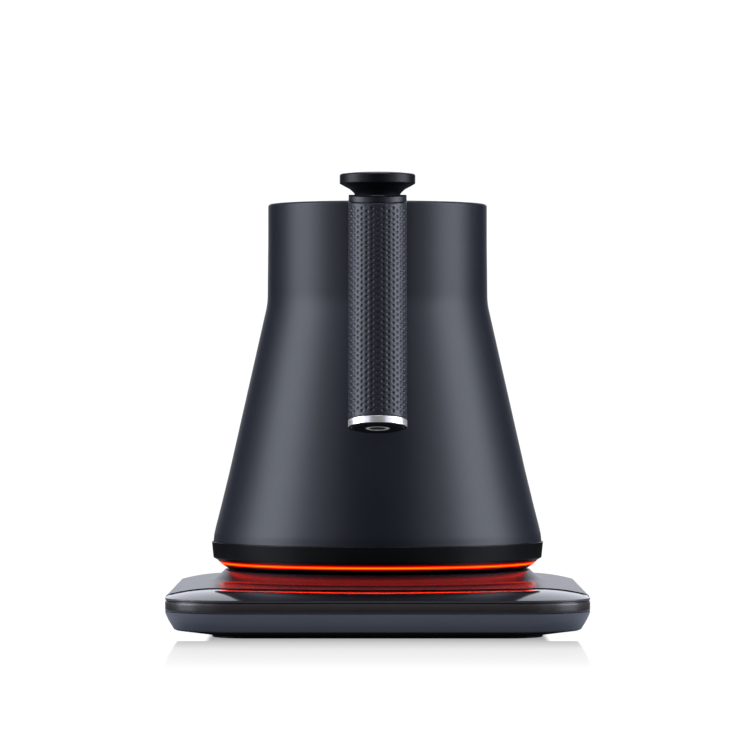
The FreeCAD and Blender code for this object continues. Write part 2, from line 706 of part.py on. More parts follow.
ARM_HALF = 9.0
ARM_LOW = 154.5
ARM_TOP = 176.6
cap_blank = handle_turned("cap_blank", [(0, 5), (GRIP_RADIUS, 5), (GRIP_RADIUS, -6), (0, -6)])
cap_top = cut("cap_top", cap_blank, tilted_block("above_cap", 3.0, 20))
level_block = doc.addObject("Part::Box", "level_block")
level_block.Length = 60
level_block.Width = 60
level_block.Height = 20
level_block.Placement = FreeCAD.Placement(
    FreeCAD.Vector(-30, -GRIP_REACH.value - 30, SEAM_TOP.value + 2.9), FreeCAD.Rotation()
)
cap_level = cut("cap_level", cap_top, level_block)
under = tilted_block("below_seam", -20, 0.1)
cap_disc = cut("cap_disc", cap_level, under)
arm_bar = new_body("arm_bar")
arm_side = new_sketch(arm_bar, "YZ_Plane", "ArmSide", -ARM_HALF)
polygon(arm_side, [(-40, ARM_LOW), (-50.5, ARM_LOW), (-55.5, 157.2), (-60, 161.4), (-66, 164.6),
                   (-GRIP_REACH + 10.4, 165.5), (-GRIP_REACH + 12.4, SEAM_TOP + 1.4),
                   (-GRIP_REACH + 6, SEAM_TOP + 0.9), (-GRIP_REACH - 4, SEAM_TOP + 0.3),
                   (-GRIP_REACH - 4, ARM_TOP), (-40, ARM_TOP)])
pad(arm_bar, arm_side, 2 * ARM_HALF, "Width")
top_edges = []
for index, edge in enumerate(arm_bar.Tip.Shape.Edges):
    middle = edge.CenterOfMass
    if abs(abs(middle.x) - ARM_HALF) < 0.01 and abs(middle.z - ARM_TOP) < 0.01:
        top_edges.append("Edge%d" % (index + 1))
arm_solid = arm_bar.Tip
arm_round = arm_bar.newObject("PartDesign::Fillet", "ArmRound")
arm_round.Base = (arm_solid, top_edges)
arm_round.Radius = 2.5
doc.recompute()
arm_whole = doc.addObject("Part::MultiFuse", "arm_whole")
arm_whole.Shapes = [arm_bar, cap_disc]
neck_tool = doc.addObject("Part::Cylinder", "neck_tool")
neck_tool.Height = 240
neck_tool.Radius = RIM_RADIUS.value + 0.12
neck_tool.setExpression("Radius", (RIM_RADIUS + 0.12).text)
arm_trimmed = cut("arm_trimmed", arm_whole, neck_tool)
core_room = handle_turned("core_room", [(0, 1.0), (CORE_RADIUS + 0.1, 1.0), (CORE_RADIUS + 0.1, -20),
                                        (0, -20)])
arm_cored = cut("arm_cored", arm_trimmed, core_room)


def along_y(name, spots, radius, start, length):
    """Round bars along Y as one compound."""
    bars = []
    for number, (x, z) in enumerate(spots):
        bar = doc.addObject("Part::Cylinder", "%s_%d" % (name, number + 1))
        bar.Radius = radius
        bar.Height = length
        bar.Placement = FreeCAD.Placement(
            FreeCAD.Vector(x, start, z), FreeCAD.Rotation(FreeCAD.Vector(1, 0, 0), 90)
        )
        bars.append(bar)
    group = doc.addObject("Part::Compound", name)
    group.Links = bars
    return group


cut("handle_arm", arm_cored, along_y("arm_pilot_holes", HANDLE_SPOTS, 1.9, -40, 13.5))

backing_blank = turned("backing_blank", [(43.4, 155.5), (RIM_RADIUS - 1.05, 155.5),
                                         (RIM_RADIUS - 1.05, 163.6), (43.4, 163.6)])
backing_window = doc.addObject("Part::Box", "backing_window")
backing_window.Length = 24
backing_window.Width = 20
backing_window.Height = 20
backing_window.Placement = FreeCAD.Placement(FreeCAD.Vector(-12, -55, 153), FreeCAD.Rotation())
backing = doc.addObject("Part::Common", "backing_piece")
backing.Base = backing_blank
backing.Tool = backing_window
cut("handle_backing_plate", backing, along_y("backing_holes", HANDLE_SPOTS, 2.1, -38, 14))

handle_screws = []
for number, (x, z) in enumerate(HANDLE_SPOTS):
    screw = turned("handle_screw_%d" % (number + 1), [(0, -1.8), (3.0, -1.8), (3.0, 0), (1.8, 0),
                                                      (1.8, 10.5), (0, 10.5)])
    screw.Placement = FreeCAD.Placement(
        FreeCAD.Vector(x, -42.4, z), FreeCAD.Rotation(FreeCAD.Vector(1, 0, 0), 90)
    )
    handle_screws.append(screw)

# ---------------------------------------------------------------- lid

turned("lid_plate", [(2.2, RIM_TOP - 3.7), (43.1, RIM_TOP - 3.7), (43.1, RIM_TOP - 1.9),
                     (42.4, RIM_TOP - 1.3), (2.2, RIM_TOP - 1.0)])
turned("lid_cup", [(38.2, RIM_TOP - 3.7), (41.2, RIM_TOP - 3.7), (41.2, RIM_TOP - 7.0),
                   (40.0, RIM_TOP - 7.0), (40.0, RIM_TOP - 10.0), (41.2, RIM_TOP - 10.0),
                   (41.2, RIM_TOP - 12.4), (40.4, RIM_TOP - 12.8), (0, RIM_TOP - 12.8),
                   (0, RIM_TOP - 11.8), (38.2, RIM_TOP - 11.8)])
turned("lid_seal", [(40.0, RIM_TOP - 10), (41.1, RIM_TOP - 10), (41.5, RIM_TOP - 9.2),
                    (41.5, RIM_TOP - 7.8), (41.1, RIM_TOP - 7.0), (40.0, RIM_TOP - 7.0)])
turned("lid_knob", [
    (0, KNOB_TOP), (12.5, KNOB_TOP - 0.25), (15.0, KNOB_TOP - 0.6), (KNOB_RADIUS, KNOB_TOP - 1.4),
    (KNOB_RADIUS, KNOB_LOW + 1.0), (15.5, KNOB_LOW + 0.2), (14.3, 184.5), (12.9, 183.8), (11.8, 183.2),
    (10.7, 182.4), (9.8, 181.5), (9.1, 180.2), (8.8, 178.4), (8.8, 177.2), (9.6, RIM_TOP - 0.9),
    (2.2, RIM_TOP - 0.9), (2.2, KNOB_LOW), (0, KNOB_LOW),
])
turned("knob_screw", [(0, RIM_TOP - 6.2), (4.2, RIM_TOP - 6.2), (4.2, RIM_TOP - 3.8),
                      (2.0, RIM_TOP - 3.8), (2.0, KNOB_LOW - 1), (0, KNOB_LOW - 1)])

# ---------------------------------------------------------------- groups of identical solids


def group(label, members):
    compound = doc.addObject("Part::Compound", label + "_group")
    compound.Links = members
    compound.Label = label
    return compound


group("base_screws", screws_group)
group("connector_contacts", contact_rings)
group("socket_contacts", socket_contacts)
group("handle_screws", handle_screws)

led_blocks = []
for number, (x, y) in enumerate(spread(12, 59.0, 15.0)):
    led = doc.addObject("Part::Box", "led_%d" % (number + 1))
    led.Length = 3.2
    led.Width = 2.8
    led.Height = 1.4
    led.Placement = FreeCAD.Placement(
        FreeCAD.Vector(x, y, 30.1), FreeCAD.Rotation(FreeCAD.Vector(0, 0, 1), 15 + 30 * number)
    )
    led_blocks.append(led)
group("light_emitters", led_blocks)

ring_screws = []
for number, (x, y) in enumerate(BOTTOM_SCREWS):
    screw = turned("bottom_screw_%d" % (number + 1), [(0, 24.4), (2.7, 24.4), (2.7, 25.4),
                                                      (1.45, 25.4), (1.45, 34), (0, 34)])
    screw.Placement = FreeCAD.Placement(FreeCAD.Vector(x, y, 0), FreeCAD.Rotation())
    ring_screws.append(screw)
group("bottom_screws", ring_screws)

# ---------------------------------------------------------------- check and export

doc.recompute()

NODES = [
    "rubber_foot_frame", "base_bottom_plate", "base_screws", "base_lower_shell", "base_trim_band",
    "base_top_cover", "control_fascia", "display_module", "touch_board", "control_board",
    "power_board", "power_relay", "connector_housing", "connector_contacts", "cord_gland",
    "appliance_socket", "socket_contacts", "kettle_body", "gooseneck_spout", "heater_plate",
    "heater_gasket", "heat_spreader", "heating_element", "temperature_probe", "bottom_ring",
    "light_ring", "light_board", "light_emitters", "bottom_cover", "bottom_screws", "lid_seat_ring",
    "handle_arm", "handle_backing_plate", "handle_screws", "handle_core", "handle_grip",
    "handle_end_ring", "handle_end_cap", "handle_end_disc", "lid_plate", "lid_cup", "lid_seal",
    "lid_knob", "knob_screw",
]

for item in doc.Objects:
    if "Invalid" in item.State or "Error" in item.State:
        raise ValueError(item.Name + " is in error: " + str(item.State))

for node in NODES:
    item = doc.getObjectsByLabel(node)[0]
    shape = item.Shape
    if shape.isNull() or not shape.isValid() or not shape.Solids:
        raise ValueError(node + " has no valid solid")
    shape.exportStep("parts/" + node + ".step")
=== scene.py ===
import math

import bmesh
import bpy
import numpy as np
from mathutils import Matrix, Vector

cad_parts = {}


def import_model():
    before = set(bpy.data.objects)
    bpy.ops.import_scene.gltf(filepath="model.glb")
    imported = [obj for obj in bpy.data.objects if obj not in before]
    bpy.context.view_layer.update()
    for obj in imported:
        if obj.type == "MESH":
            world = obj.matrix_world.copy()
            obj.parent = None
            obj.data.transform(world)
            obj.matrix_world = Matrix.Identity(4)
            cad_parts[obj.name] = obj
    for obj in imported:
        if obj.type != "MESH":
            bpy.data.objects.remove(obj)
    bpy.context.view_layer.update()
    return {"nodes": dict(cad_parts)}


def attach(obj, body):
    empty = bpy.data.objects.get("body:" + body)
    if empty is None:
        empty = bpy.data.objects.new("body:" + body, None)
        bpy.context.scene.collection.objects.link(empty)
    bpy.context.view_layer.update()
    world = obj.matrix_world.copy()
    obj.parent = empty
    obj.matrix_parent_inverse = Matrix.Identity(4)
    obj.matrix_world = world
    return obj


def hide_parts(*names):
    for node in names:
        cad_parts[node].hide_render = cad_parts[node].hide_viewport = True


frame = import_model()
MM = 0.001

# Sizes in millimetres, the same as the CAD model's.
BASE_HALF, BASE_FRONT, BASE_BACK, BASE_CORNER, BASE_REAR = 85.3, 115.0, 90.0, 27.5, 12.0
BAND_LOW, BAND_TOP, PLATE_TOP = 10.7, 16.0, 19.2
ROLL, FRONT_ROLL = 22.0, 1.15
ARC_R, ARC_Y, ARC_GAP = 132.8, 40.8, 0.2
PODIUM_TOP, PODIUM_FOOT = 22.6, 71.4
COVER_IN, COVER_UNDER = 60.0, 20.4
GRIP_R, GRIP_BORE, GRIP_LEN = 11.7, 8.0, 92.1
GRIP_AT = Vector((0.0, -85.0, 174.5))
GRIP_TILT = math.radians(-11.0)
SEAM_SLOPE = math.tan(math.radians(16.0))
RIM_TOP = 176.7
RIM_R, NECK_IN, LID_OPENING = 45.9, 44.9, 43.5
SPOUT_WALL = 0.9
LIGHT_LOW, LIGHT_TOP = 25.8, 27.62


# ------------------------------------------------------------ material tools

def srgb(r, g, b):
    """Linear colour from 0-255 screen values."""
    out = []
    for c in (r, g, b):
        c /= 255.0
        out.append(c / 12.92 if c <= 0.04045 else ((c + 0.055) / 1.055) ** 2.4)
    return (*out, 1.0)


class Nodes:
    """A Principled material with short helpers for its noise, bump and mixes."""

    def __init__(self, name):
        self.material = bpy.data.materials.new(name)
        self.material.use_nodes = True
        self.tree = self.material.node_tree
        self.shader = self.tree.nodes["Principled BSDF"]
        self.coords = self.tree.nodes.new("ShaderNodeTexCoord")

    def new(self, kind, **values):
        node = self.tree.nodes.new(kind)
        for key, value in values.items():
            setattr(node, key, value)
        return node

    def link(self, a, b):
        self.tree.links.new(a, b)

    def set(self, **values):
        for key, value in values.items():
            self.shader.inputs[key.replace("_", " ")].default_value = value

    def noise(self, scale, detail=3.0, stretch=(1, 1, 1), rough=0.5):
        mapping = self.new("ShaderNodeMapping")
        mapping.inputs["Scale"].default_value = stretch
        self.link(self.coords.outputs["Object"], mapping.inputs["Vector"])
        node = self.new("ShaderNodeTexNoise")
        node.inputs["Scale"].default_value = scale
        node.inputs["Detail"].default_value = detail
        node.inputs["Roughness"].default_value = rough
        self.link(mapping.outputs["Vector"], node.inputs["Vector"])
        return node.outputs["Fac"]

    def ramp(self, source, stops):
        """Colour along the source from (position, colour) stops."""
        node = self.new("ShaderNodeValToRGB")
        ramp = node.color_ramp
        while len(ramp.elements) < len(stops):
            ramp.elements.new(0.5)
        for element, (at, colour) in zip(ramp.elements, stops):
            element.position = at
            element.color = colour
        self.link(source, node.inputs["Fac"])
        return node.outputs["Color"]

    def span(self, source, low, high, start=0.0, end=1.0):
        """The source's start to end mapped to low to high."""
        node = self.new("ShaderNodeMapRange")
        node.inputs["From Min"].default_value = start
        node.inputs["From Max"].default_value = end
        node.inputs["To Min"].default_value = low
        node.inputs["To Max"].default_value = high
        self.link(source, node.inputs["Value"])
        return node.outputs["Result"]

    def bump(self, source, strength, depth):
        node = self.new("ShaderNodeBump")
        node.inputs["Strength"].default_value = strength
        node.inputs["Distance"].default_value = depth * MM
        self.link(source, node.inputs["Height"])
        self.link(node.outputs["Normal"], self.shader.inputs["Normal"])


def plain(name, colour, rough, metal=0.0, grain=900.0, vary=0.12, bump=0.12, depth=0.04, **more):
    """A moulded, painted or metal surface: fine grain, slight colour and gloss changes."""
    n = Nodes(name)
    n.set(Metallic=metal, **more)
    broad = n.noise(28.0, 4.0)
    fine = n.noise(grain, 2.0)
    light = [min(1.0, c * (1 + vary)) for c in colour[:3]] + [1.0]
    dark = [c * (1 - vary) for c in colour[:3]] + [1.0]
    n.link(n.ramp(broad, [(0.3, dark), (0.7, light)]), n.shader.inputs["Base Color"])
    n.link(n.span(fine, rough * 0.9, rough * 1.12, 0.3, 0.7), n.shader.inputs["Roughness"])
    n.bump(fine, bump, depth)
    return n.material


def brushed(name, colour, rough, stretch=(1, 1, 60), scale=60.0, **more):
    """A metal with fine lines across Z."""
    n = Nodes(name)
    n.set(Metallic=1.0, **more)
    lines = n.noise(scale, 5.0, stretch)
    light = [min(1.0, c * 1.1) for c in colour[:3]] + [1.0]
    dark = [c * 0.85 for c in colour[:3]] + [1.0]
    n.link(n.ramp(lines, [(0.3, dark), (0.7, light)]), n.shader.inputs["Base Color"])
    n.link(n.span(lines, rough * 0.8, rough * 1.25, 0.3, 0.7), n.shader.inputs["Roughness"])
    n.bump(lines, 0.15, 0.02)
    return n.material


BODY_PAINT = plain("body_paint", srgb(25, 29, 38), 0.42, grain=2600, vary=0.05, bump=0.08, depth=0.04)
KNOB_BLACK = plain("knob_black", srgb(20, 21, 25), 0.40, grain=2200, vary=0.06, Specular_IOR_Level=0.3)
RING_BLACK = plain("ring_black", srgb(12, 12, 14), 0.32, grain=1800, vary=0.06, Specular_IOR_Level=0.28)
BASE_SHELL = plain("base_shell", srgb(86, 90, 102), 0.40, grain=2000, vary=0.05, bump=0.08)
BASE_PLATE = plain("base_plate", srgb(28, 29, 35), 0.29, grain=2400, vary=0.05, bump=0.02, depth=0.015)
BASE_UNDER = plain("base_under", srgb(30, 31, 36), 0.5, grain=1500, vary=0.08)
FASCIA = plain("fascia_gloss", srgb(30, 28, 33), 0.09, grain=300, vary=0.05, bump=0.01, depth=0.01,
               Coat_Weight=0.1, Coat_Roughness=0.03)
GRIP = plain("grip_rubber", srgb(50, 52, 59), 0.40, grain=3000, vary=0.05, bump=0.08, depth=0.03,
             Specular_IOR_Level=0.55)
# The cap's top facet is dark and unreflecting: a painted dark reflection of the knob above it.
CAP_TOP_PAINTED_REFLECTION = plain("cap_top", srgb(24, 26, 30), 0.8, grain=2200, vary=0.06, Specular_IOR_Level=0.0)
# Near-black, almost unreflecting finish for the plate's edge wall along the fascia: painted shade in the gap
# between them.
GAP_PAINTED_SHADE = plain("gap_painted_shade", srgb(8, 8, 9), 0.7, grain=2200, vary=0.06, Specular_IOR_Level=0.05)
RUBBER = plain("foot_rubber", srgb(28, 28, 30), 0.75, grain=1200, vary=0.1)
# The polished steel also glows evenly: a painted glow that stands in for the light it reflects.
STEEL = brushed("polished_steel", srgb(240, 240, 243), 0.30,
                Emission_Color=(1, 1, 1, 1), Emission_Strength=0.2)
STEEL_IN = brushed("inner_steel", srgb(205, 206, 208), 0.3, (1, 1, 40), 40)
STEEL_DARK = brushed("screw_steel", srgb(170, 170, 172), 0.35)
ALU = plain("cast_aluminium", srgb(176, 178, 180), 0.45, 1.0, grain=700, vary=0.1, bump=0.3)
BRASS = plain("contact_metal", srgb(214, 170, 92), 0.28, 1.0, grain=800, vary=0.08)
SILICONE = plain("silicone", srgb(196, 196, 194), 0.5, vary=0.05)
BLACK_MOULDED = plain("black_moulded", srgb(24, 24, 26), 0.5, grain=1500, vary=0.1)


def smoky_band_painted_light():
    """Smoked gloss trim with painted light: painted shade at its foot, paler upwards, painted shade in its
    groove, and painted highlights just below the groove and at its top edge.
    """
    n = Nodes("smoky_band_painted_light")
    n.set(Metallic=0.0, Coat_Weight=0.3, Coat_Roughness=0.25)
    split = n.new("ShaderNodeSeparateXYZ")
    n.link(n.coords.outputs["Object"], split.inputs[0])
    rise = n.span(split.outputs["Z"], 0.0, 1.0, BAND_LOW * MM, BAND_TOP * MM)
    # Colour stops up the band: painted shade at the foot and in the groove, painted highlights below the
    # groove and along the top edge.
    painted_light_stops = [(0.0, srgb(14, 13, 15)), (0.12, srgb(20, 18, 20)), (0.3, srgb(44, 39, 40)),
              (0.62, srgb(66, 60, 60)), (0.72, srgb(84, 79, 80)), (0.76, srgb(20, 19, 21)),
              (0.86, srgb(30, 29, 32)), (1.0, srgb(104, 100, 104))]
    n.link(n.ramp(rise, painted_light_stops), n.shader.inputs["Base Color"])
    fine = n.noise(500.0, 2.0)
    n.link(n.span(fine, 0.28, 0.36, 0.3, 0.7), n.shader.inputs["Roughness"])
    n.bump(fine, 0.02, 0.02)
    return n.material


def light_material():
    """The lit ring: a bright amber core across its slope, deep red towards both edges."""
    n = Nodes("light_diffuser")
    n.set(Roughness=0.4)
    split = n.new("ShaderNodeSeparateXYZ")
    n.link(n.coords.outputs["Object"], split.inputs[0])
    rise = n.span(split.outputs["Z"], 0.0, 1.0, LIGHT_LOW * MM, LIGHT_TOP * MM)
    core = (1.0, 0.031, 0.0, 1)
    half = [(0.0, (0.02, 0, 0, 1)), (0.13, (0.05, 0, 0, 1)), (0.26, (0.17, 0.002, 0, 1)),
            (0.38, (0.48, 0.01, 0, 1)), (0.44, core)]
    glow = n.ramp(rise, half + [(0.94 - at, colour) for at, colour in reversed(half)])
    n.link(glow, n.shader.inputs["Emission Color"])
    n.set(Base_Color=(0.02, 0.0, 0.0, 1), Specular_IOR_Level=0.05, Emission_Strength=13.0)
    return n.material


def board_material():
    """A green board with a pale grid of tracks."""
    n = Nodes("circuit_board")
    n.set(Roughness=0.35)
    tracks = n.new("ShaderNodeTexBrick")
    tracks.inputs["Scale"].default_value = 160.0
    tracks.inputs["Color1"].default_value = srgb(18, 78, 44)
    tracks.inputs["Color2"].default_value = srgb(14, 66, 38)
    tracks.inputs["Mortar"].default_value = srgb(62, 120, 70)
    tracks.inputs["Mortar Size"].default_value = 0.01
    n.link(n.coords.outputs["Object"], tracks.inputs["Vector"])
    n.link(tracks.outputs["Color"], n.shader.inputs["Base Color"])
    n.bump(tracks.outputs["Fac"], 0.2, 0.03)
    return n.material


BAND = smoky_band_painted_light()
LIGHT = light_material()
BOARD = board_material()
DISPLAY = plain("display_glass", srgb(16, 18, 22), 0.08, grain=200, vary=0.1, bump=0.01)
LED = plain("led_dome", srgb(240, 200, 120), 0.2, grain=600, vary=0.05,
            Emission_Color=(1.0, 0.3, 0.02, 1), Emission_Strength=1.0)


# ------------------------------------------------------------ mesh tools

def make(name, verts, faces, materials, body, nodes=(), sharp=35.0, marks=None, place=None):
    """Builds a smooth-shaded piece from millimetre points and puts it in the frame."""
    points = np.asarray(verts, dtype=float)
    if place is not None:
        rotation = np.array(place.to_3x3())
        points = points @ rotation.T + np.array(place.translation)
    mesh = bpy.data.meshes.new(name)
    mesh.from_pydata((points * MM).tolist(), [], [list(f) for f in faces])
    for material in materials:
        mesh.materials.append(material)
    if marks is not None:
        mesh.polygons.foreach_set("material_index", marks)
    build = bmesh.new()
    build.from_mesh(mesh)
    bmesh.ops.remove_doubles(build, verts=build.verts, dist=1e-6)
    bmesh.ops.dissolve_degenerate(build, edges=build.edges, dist=1e-6)
    bmesh.ops.recalc_face_normals(build, faces=build.faces)
    build.to_mesh(mesh)
    build.free()
    mesh.shade_smooth()
    mesh.set_sharp_from_angle(angle=math.radians(sharp))
    obj = bpy.data.objects.new(name, mesh)
    bpy.context.scene.collection.objects.link(obj)
    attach(obj, body)
    if nodes:
        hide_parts(*nodes)
    return obj


def quads(rows, count, loop=True, around=True):
    """Quads between rows of count points. With loop the last row joins the first one, and with
    around each row's last point joins its first one."""
    faces = []
    for k in range(rows if loop else rows - 1):
        a, b = k * count, (k + 1) % rows * count
        for i in range(count if around else count - 1):
            j = (i + 1) % count
            faces.append((a + i, a + j, b + j, b + i))
    return faces


def end_faces(rows, count):
    """The two flat ends of a tube of quads."""
    return [tuple(range(count)), tuple((rows - 1) * count + i for i in reversed(range(count)))]


def rounded(corners, step=2.5):
    """A closed outline with its corners rounded. Corners are (r, z) or (r, z, radius).
    Straight runs are divided to about step, with a point close to each rounding."""
    corners = [(*c, 0.0) if len(c) == 2 else c for c in corners]
    count = len(corners)
    pieces = []
    for i, (x, y, radius) in enumerate(corners):
        here = np.array([x, y], dtype=float)
        before = np.array(corners[i - 1][:2], dtype=float)
        after = np.array(corners[(i + 1) % count][:2], dtype=float)
        a, b = before - here, after - here
        la, lb = np.linalg.norm(a), np.linalg.norm(b)
        if radius <= 0 or la < 1e-9 or lb < 1e-9:
            pieces.append([here])
            continue
        a, b = a / la, b / lb
        half = math.acos(max(-1.0, min(1.0, float(a @ b)))) / 2
        reach = min(radius / math.tan(half), 0.48 * la, 0.48 * lb)
        radius = reach * math.tan(half)
        turn = math.pi - 2 * half
        steps = max(4, int(turn / math.radians(9)), min(24, int(radius * turn / 1.2)))
        middle = here + (a + b) / np.linalg.norm(a + b) * (radius / math.sin(half))
        first, last = here + a * reach - middle, here + b * reach - middle
        start = math.atan2(first[1], first[0])
        sweep = math.atan2(last[1], last[0]) - start
        sweep = (sweep + math.pi) % (2 * math.pi) - math.pi
        pieces.append([middle + radius * np.array([math.cos(start + sweep * k / steps),
                                                   math.sin(start + sweep * k / steps)])
                       for k in range(steps + 1)])
    outline = []
    for i, piece in enumerate(pieces):
        outline += piece
        start, end = piece[-1], pieces[(i + 1) % count][0]
        run = np.linalg.norm(end - start)
        if run < 0.6:
            continue
        near = min(0.25, run / 4)
        spots = [near / run]
        inner = max(0, int(run / step))
        spots += [near / run + (1 - 2 * near / run) * k / (inner + 1) for k in range(1, inner + 1)]
        spots.append(1 - near / run)
        outline += [start + (end - start) * t for t in spots]
    return np.array(outline)


def lathe(name, corners, materials, body, nodes=(), around=144, step=2.5, sharp=35.0, place=None,
          marks=None, shift=None):
    """A ring or solid turned about Z from a closed (radius, height) outline. marks gives the material
    between two outline points, and shift moves the turned points."""
    outline = rounded(corners, step)
    n = len(outline)
    angles = np.arange(around) * 2 * math.pi / around
    verts = np.zeros((around, n, 3))
    verts[:, :, 0] = np.cos(angles)[:, None] * outline[None, :, 0]
    verts[:, :, 1] = np.sin(angles)[:, None] * outline[None, :, 0]
    verts[:, :, 2] = outline[None, :, 1]
    if shift is not None:
        verts = shift(verts)
    faces, kinds = [], []
    for i in range(around):
        j = (i + 1) % around
        for k in range(n):
            m = (k + 1) % n
            if outline[k][0] < 1e-6 and outline[m][0] < 1e-6:
                continue
            faces.append((i * n + k, j * n + k, j * n + m, i * n + m))
            kinds.append(marks(outline[k], outline[m]) if marks else 0)
    return make(name, verts.reshape(-1, 3), faces, materials, body, nodes, sharp, kinds, place)


def front_corner(inset):
    return BASE_CORNER - 0.7 * inset


def rear_corner(inset):
    return BASE_REAR - 0.35 * inset


def base_loop(inset, z, arc=22, side=14):
    """The base's rounded outline moved in by inset, at height z."""
    half, front, back = BASE_HALF - inset, BASE_FRONT - inset, BASE_BACK - inset
    r, s = front_corner(inset), rear_corner(inset)
    corners = [(half - r, -front + r, r, -90), (half - s, back - s, s, 0), (-half + s, back - s, s, 90),
               (-half + r, -front + r, r, 180)]
    points = []
    for k, (x, y, size, first) in enumerate(corners):
        for i in range(arc + 1):
            angle = math.radians(first + 90.0 * i / arc)
            points.append((x + size * math.cos(angle), y + size * math.sin(angle), z))
        nx, ny, size, nf = corners[(k + 1) % 4]
        start = points[-1]
        angle = math.radians(nf)
        end = (nx + size * math.cos(angle), ny + size * math.sin(angle))
        for i in range(1, side):
            t = i / side
            points.append((start[0] + (end[0] - start[0]) * t, start[1] + (end[1] - start[1]) * t, z))
    return points


def stack(name, loops, materials, body, nodes=(), ring=True, sharp=35.0):
    """A solid through stacked outlines: a closed ring, or a lump with two flat ends."""
    rows, count = len(loops), len(loops[0])
    verts = [p for loop in loops for p in loop]
    faces = quads(rows, count, loop=ring)
    if not ring:
        faces += end_faces(rows, count)
    return make(name, verts, faces, materials, body, nodes, sharp)


# ------------------------------------------------------------ base: foot, tray, shell and band

def between(a, b, steps, bow=0.0):
    """(inset, height) pairs from a to b, bowed outwards in the middle."""
    shares = [k / steps for k in range(steps + 1)]
    return [(a[0] + (b[0] - a[0]) * t - bow * 4 * t * (1 - t), a[1] + (b[1] - a[1]) * t) for t in shares]


foot = [(18.9, 0.3), (19.2, 0.0), (26.6, 0.0), (26.9, 0.3), (26.9, 1.4), (18.9, 1.4)]
stack("foot_frame", [base_loop(i, z) for i, z in foot], [RUBBER], "base",
      ["rubber_foot_frame"])

shell_out = [(4.3, 3.25), (3.9, 3.3), (3.45, 3.75)] + between((3.2, 4.3), (0.12, 10.4), 10, 0.25)[:-1]
shell_out += [(0.14, 10.5), (0.3, 10.62), (0.6, 10.7)]
shell = [(6.2, 3.2)] + shell_out + [(2.6, 10.7), (6.2, 3.6)]
stack("lower_shell", [base_loop(i, z) for i, z in shell], [BASE_SHELL], "base",
      ["base_lower_shell"])

tray = [(26.0, 0.9), (18.6, 0.9), (18.3, 0.95)] + between((18.0, 1.0), (4.6, 3.0), 8) + [(4.25, 3.2)]
stack("bottom_plate", [base_loop(i, z) for i, z in tray], [BASE_UNDER], "base",
      ["base_bottom_plate"], ring=False)

band = [(0.6, 10.72), (0.4, 10.76), (0.24, 10.95)] + between((0.2, 11.2), (0.2, 14.4), 4)
band += [(0.24, 14.55), (0.36, 14.68), (0.52, 14.76), (0.56, 14.9), (0.54, 15.1), (0.4, 15.18),
         (0.26, 15.22), (0.2, 15.32), (0.2, 15.8), (0.26, 15.92), (0.45, 15.98),
         (2.4, 15.98), (2.4, 10.72)]
stack("trim_band", [base_loop(i, z) for i, z in band], [BAND], "base",
      ["base_trim_band"])


# ------------------------------------------------------------ base: top cover and fascia

def inside(x, y, inset):
    """Signed distance to the crown's outline at this inset, negative inside. Its front is longer."""
    half, front, back = BASE_HALF - inset, BASE_FRONT - FRONT_ROLL * inset, BASE_BACK - inset
    middle, deep = (back - front) / 2, (back + front) / 2
    r = np.where(y > middle, rear_corner(inset), front_corner(inset))
    qx, qy = np.abs(x) - half + r, np.abs(y - middle) - deep + r
    return (np.hypot(np.maximum(qx, 0), np.maximum(qy, 0)) + np.minimum(np.maximum(qx, qy), 0) - r)


def dome(x, y):
    """Height of the crowned top at (x, y)."""
    low, high = np.zeros_like(x), np.full_like(x, ROLL)
    for _ in range(34):
        mid = (low + high) / 2
        out = inside(x, y, mid) > 0
        high = np.where(out, mid, high)
        low = np.where(out, low, mid)
    level = (low + high) / 2
    return BAND_TOP + (PLATE_TOP - BAND_TOP) * (1 - (1 - level / ROLL) ** 2)


def ray_reach(angles, inset):
    """How far a ray from the axis runs before it crosses the outline at this inset."""
    low, high = np.zeros_like(angles), np.full_like(angles, 170.0)
    for _ in range(40):
        mid = (low + high) / 2
        out = inside(mid * np.cos(angles), mid * np.sin(angles), inset) > 0
        high = np.where(out, mid, high)
        low = np.where(out, low, mid)
    return (low + high) / 2


def crown(reach, angles):
    """The crowned top's height at this reach from the axis."""
    return dome(reach * np.cos(angles), reach * np.sin(angles))


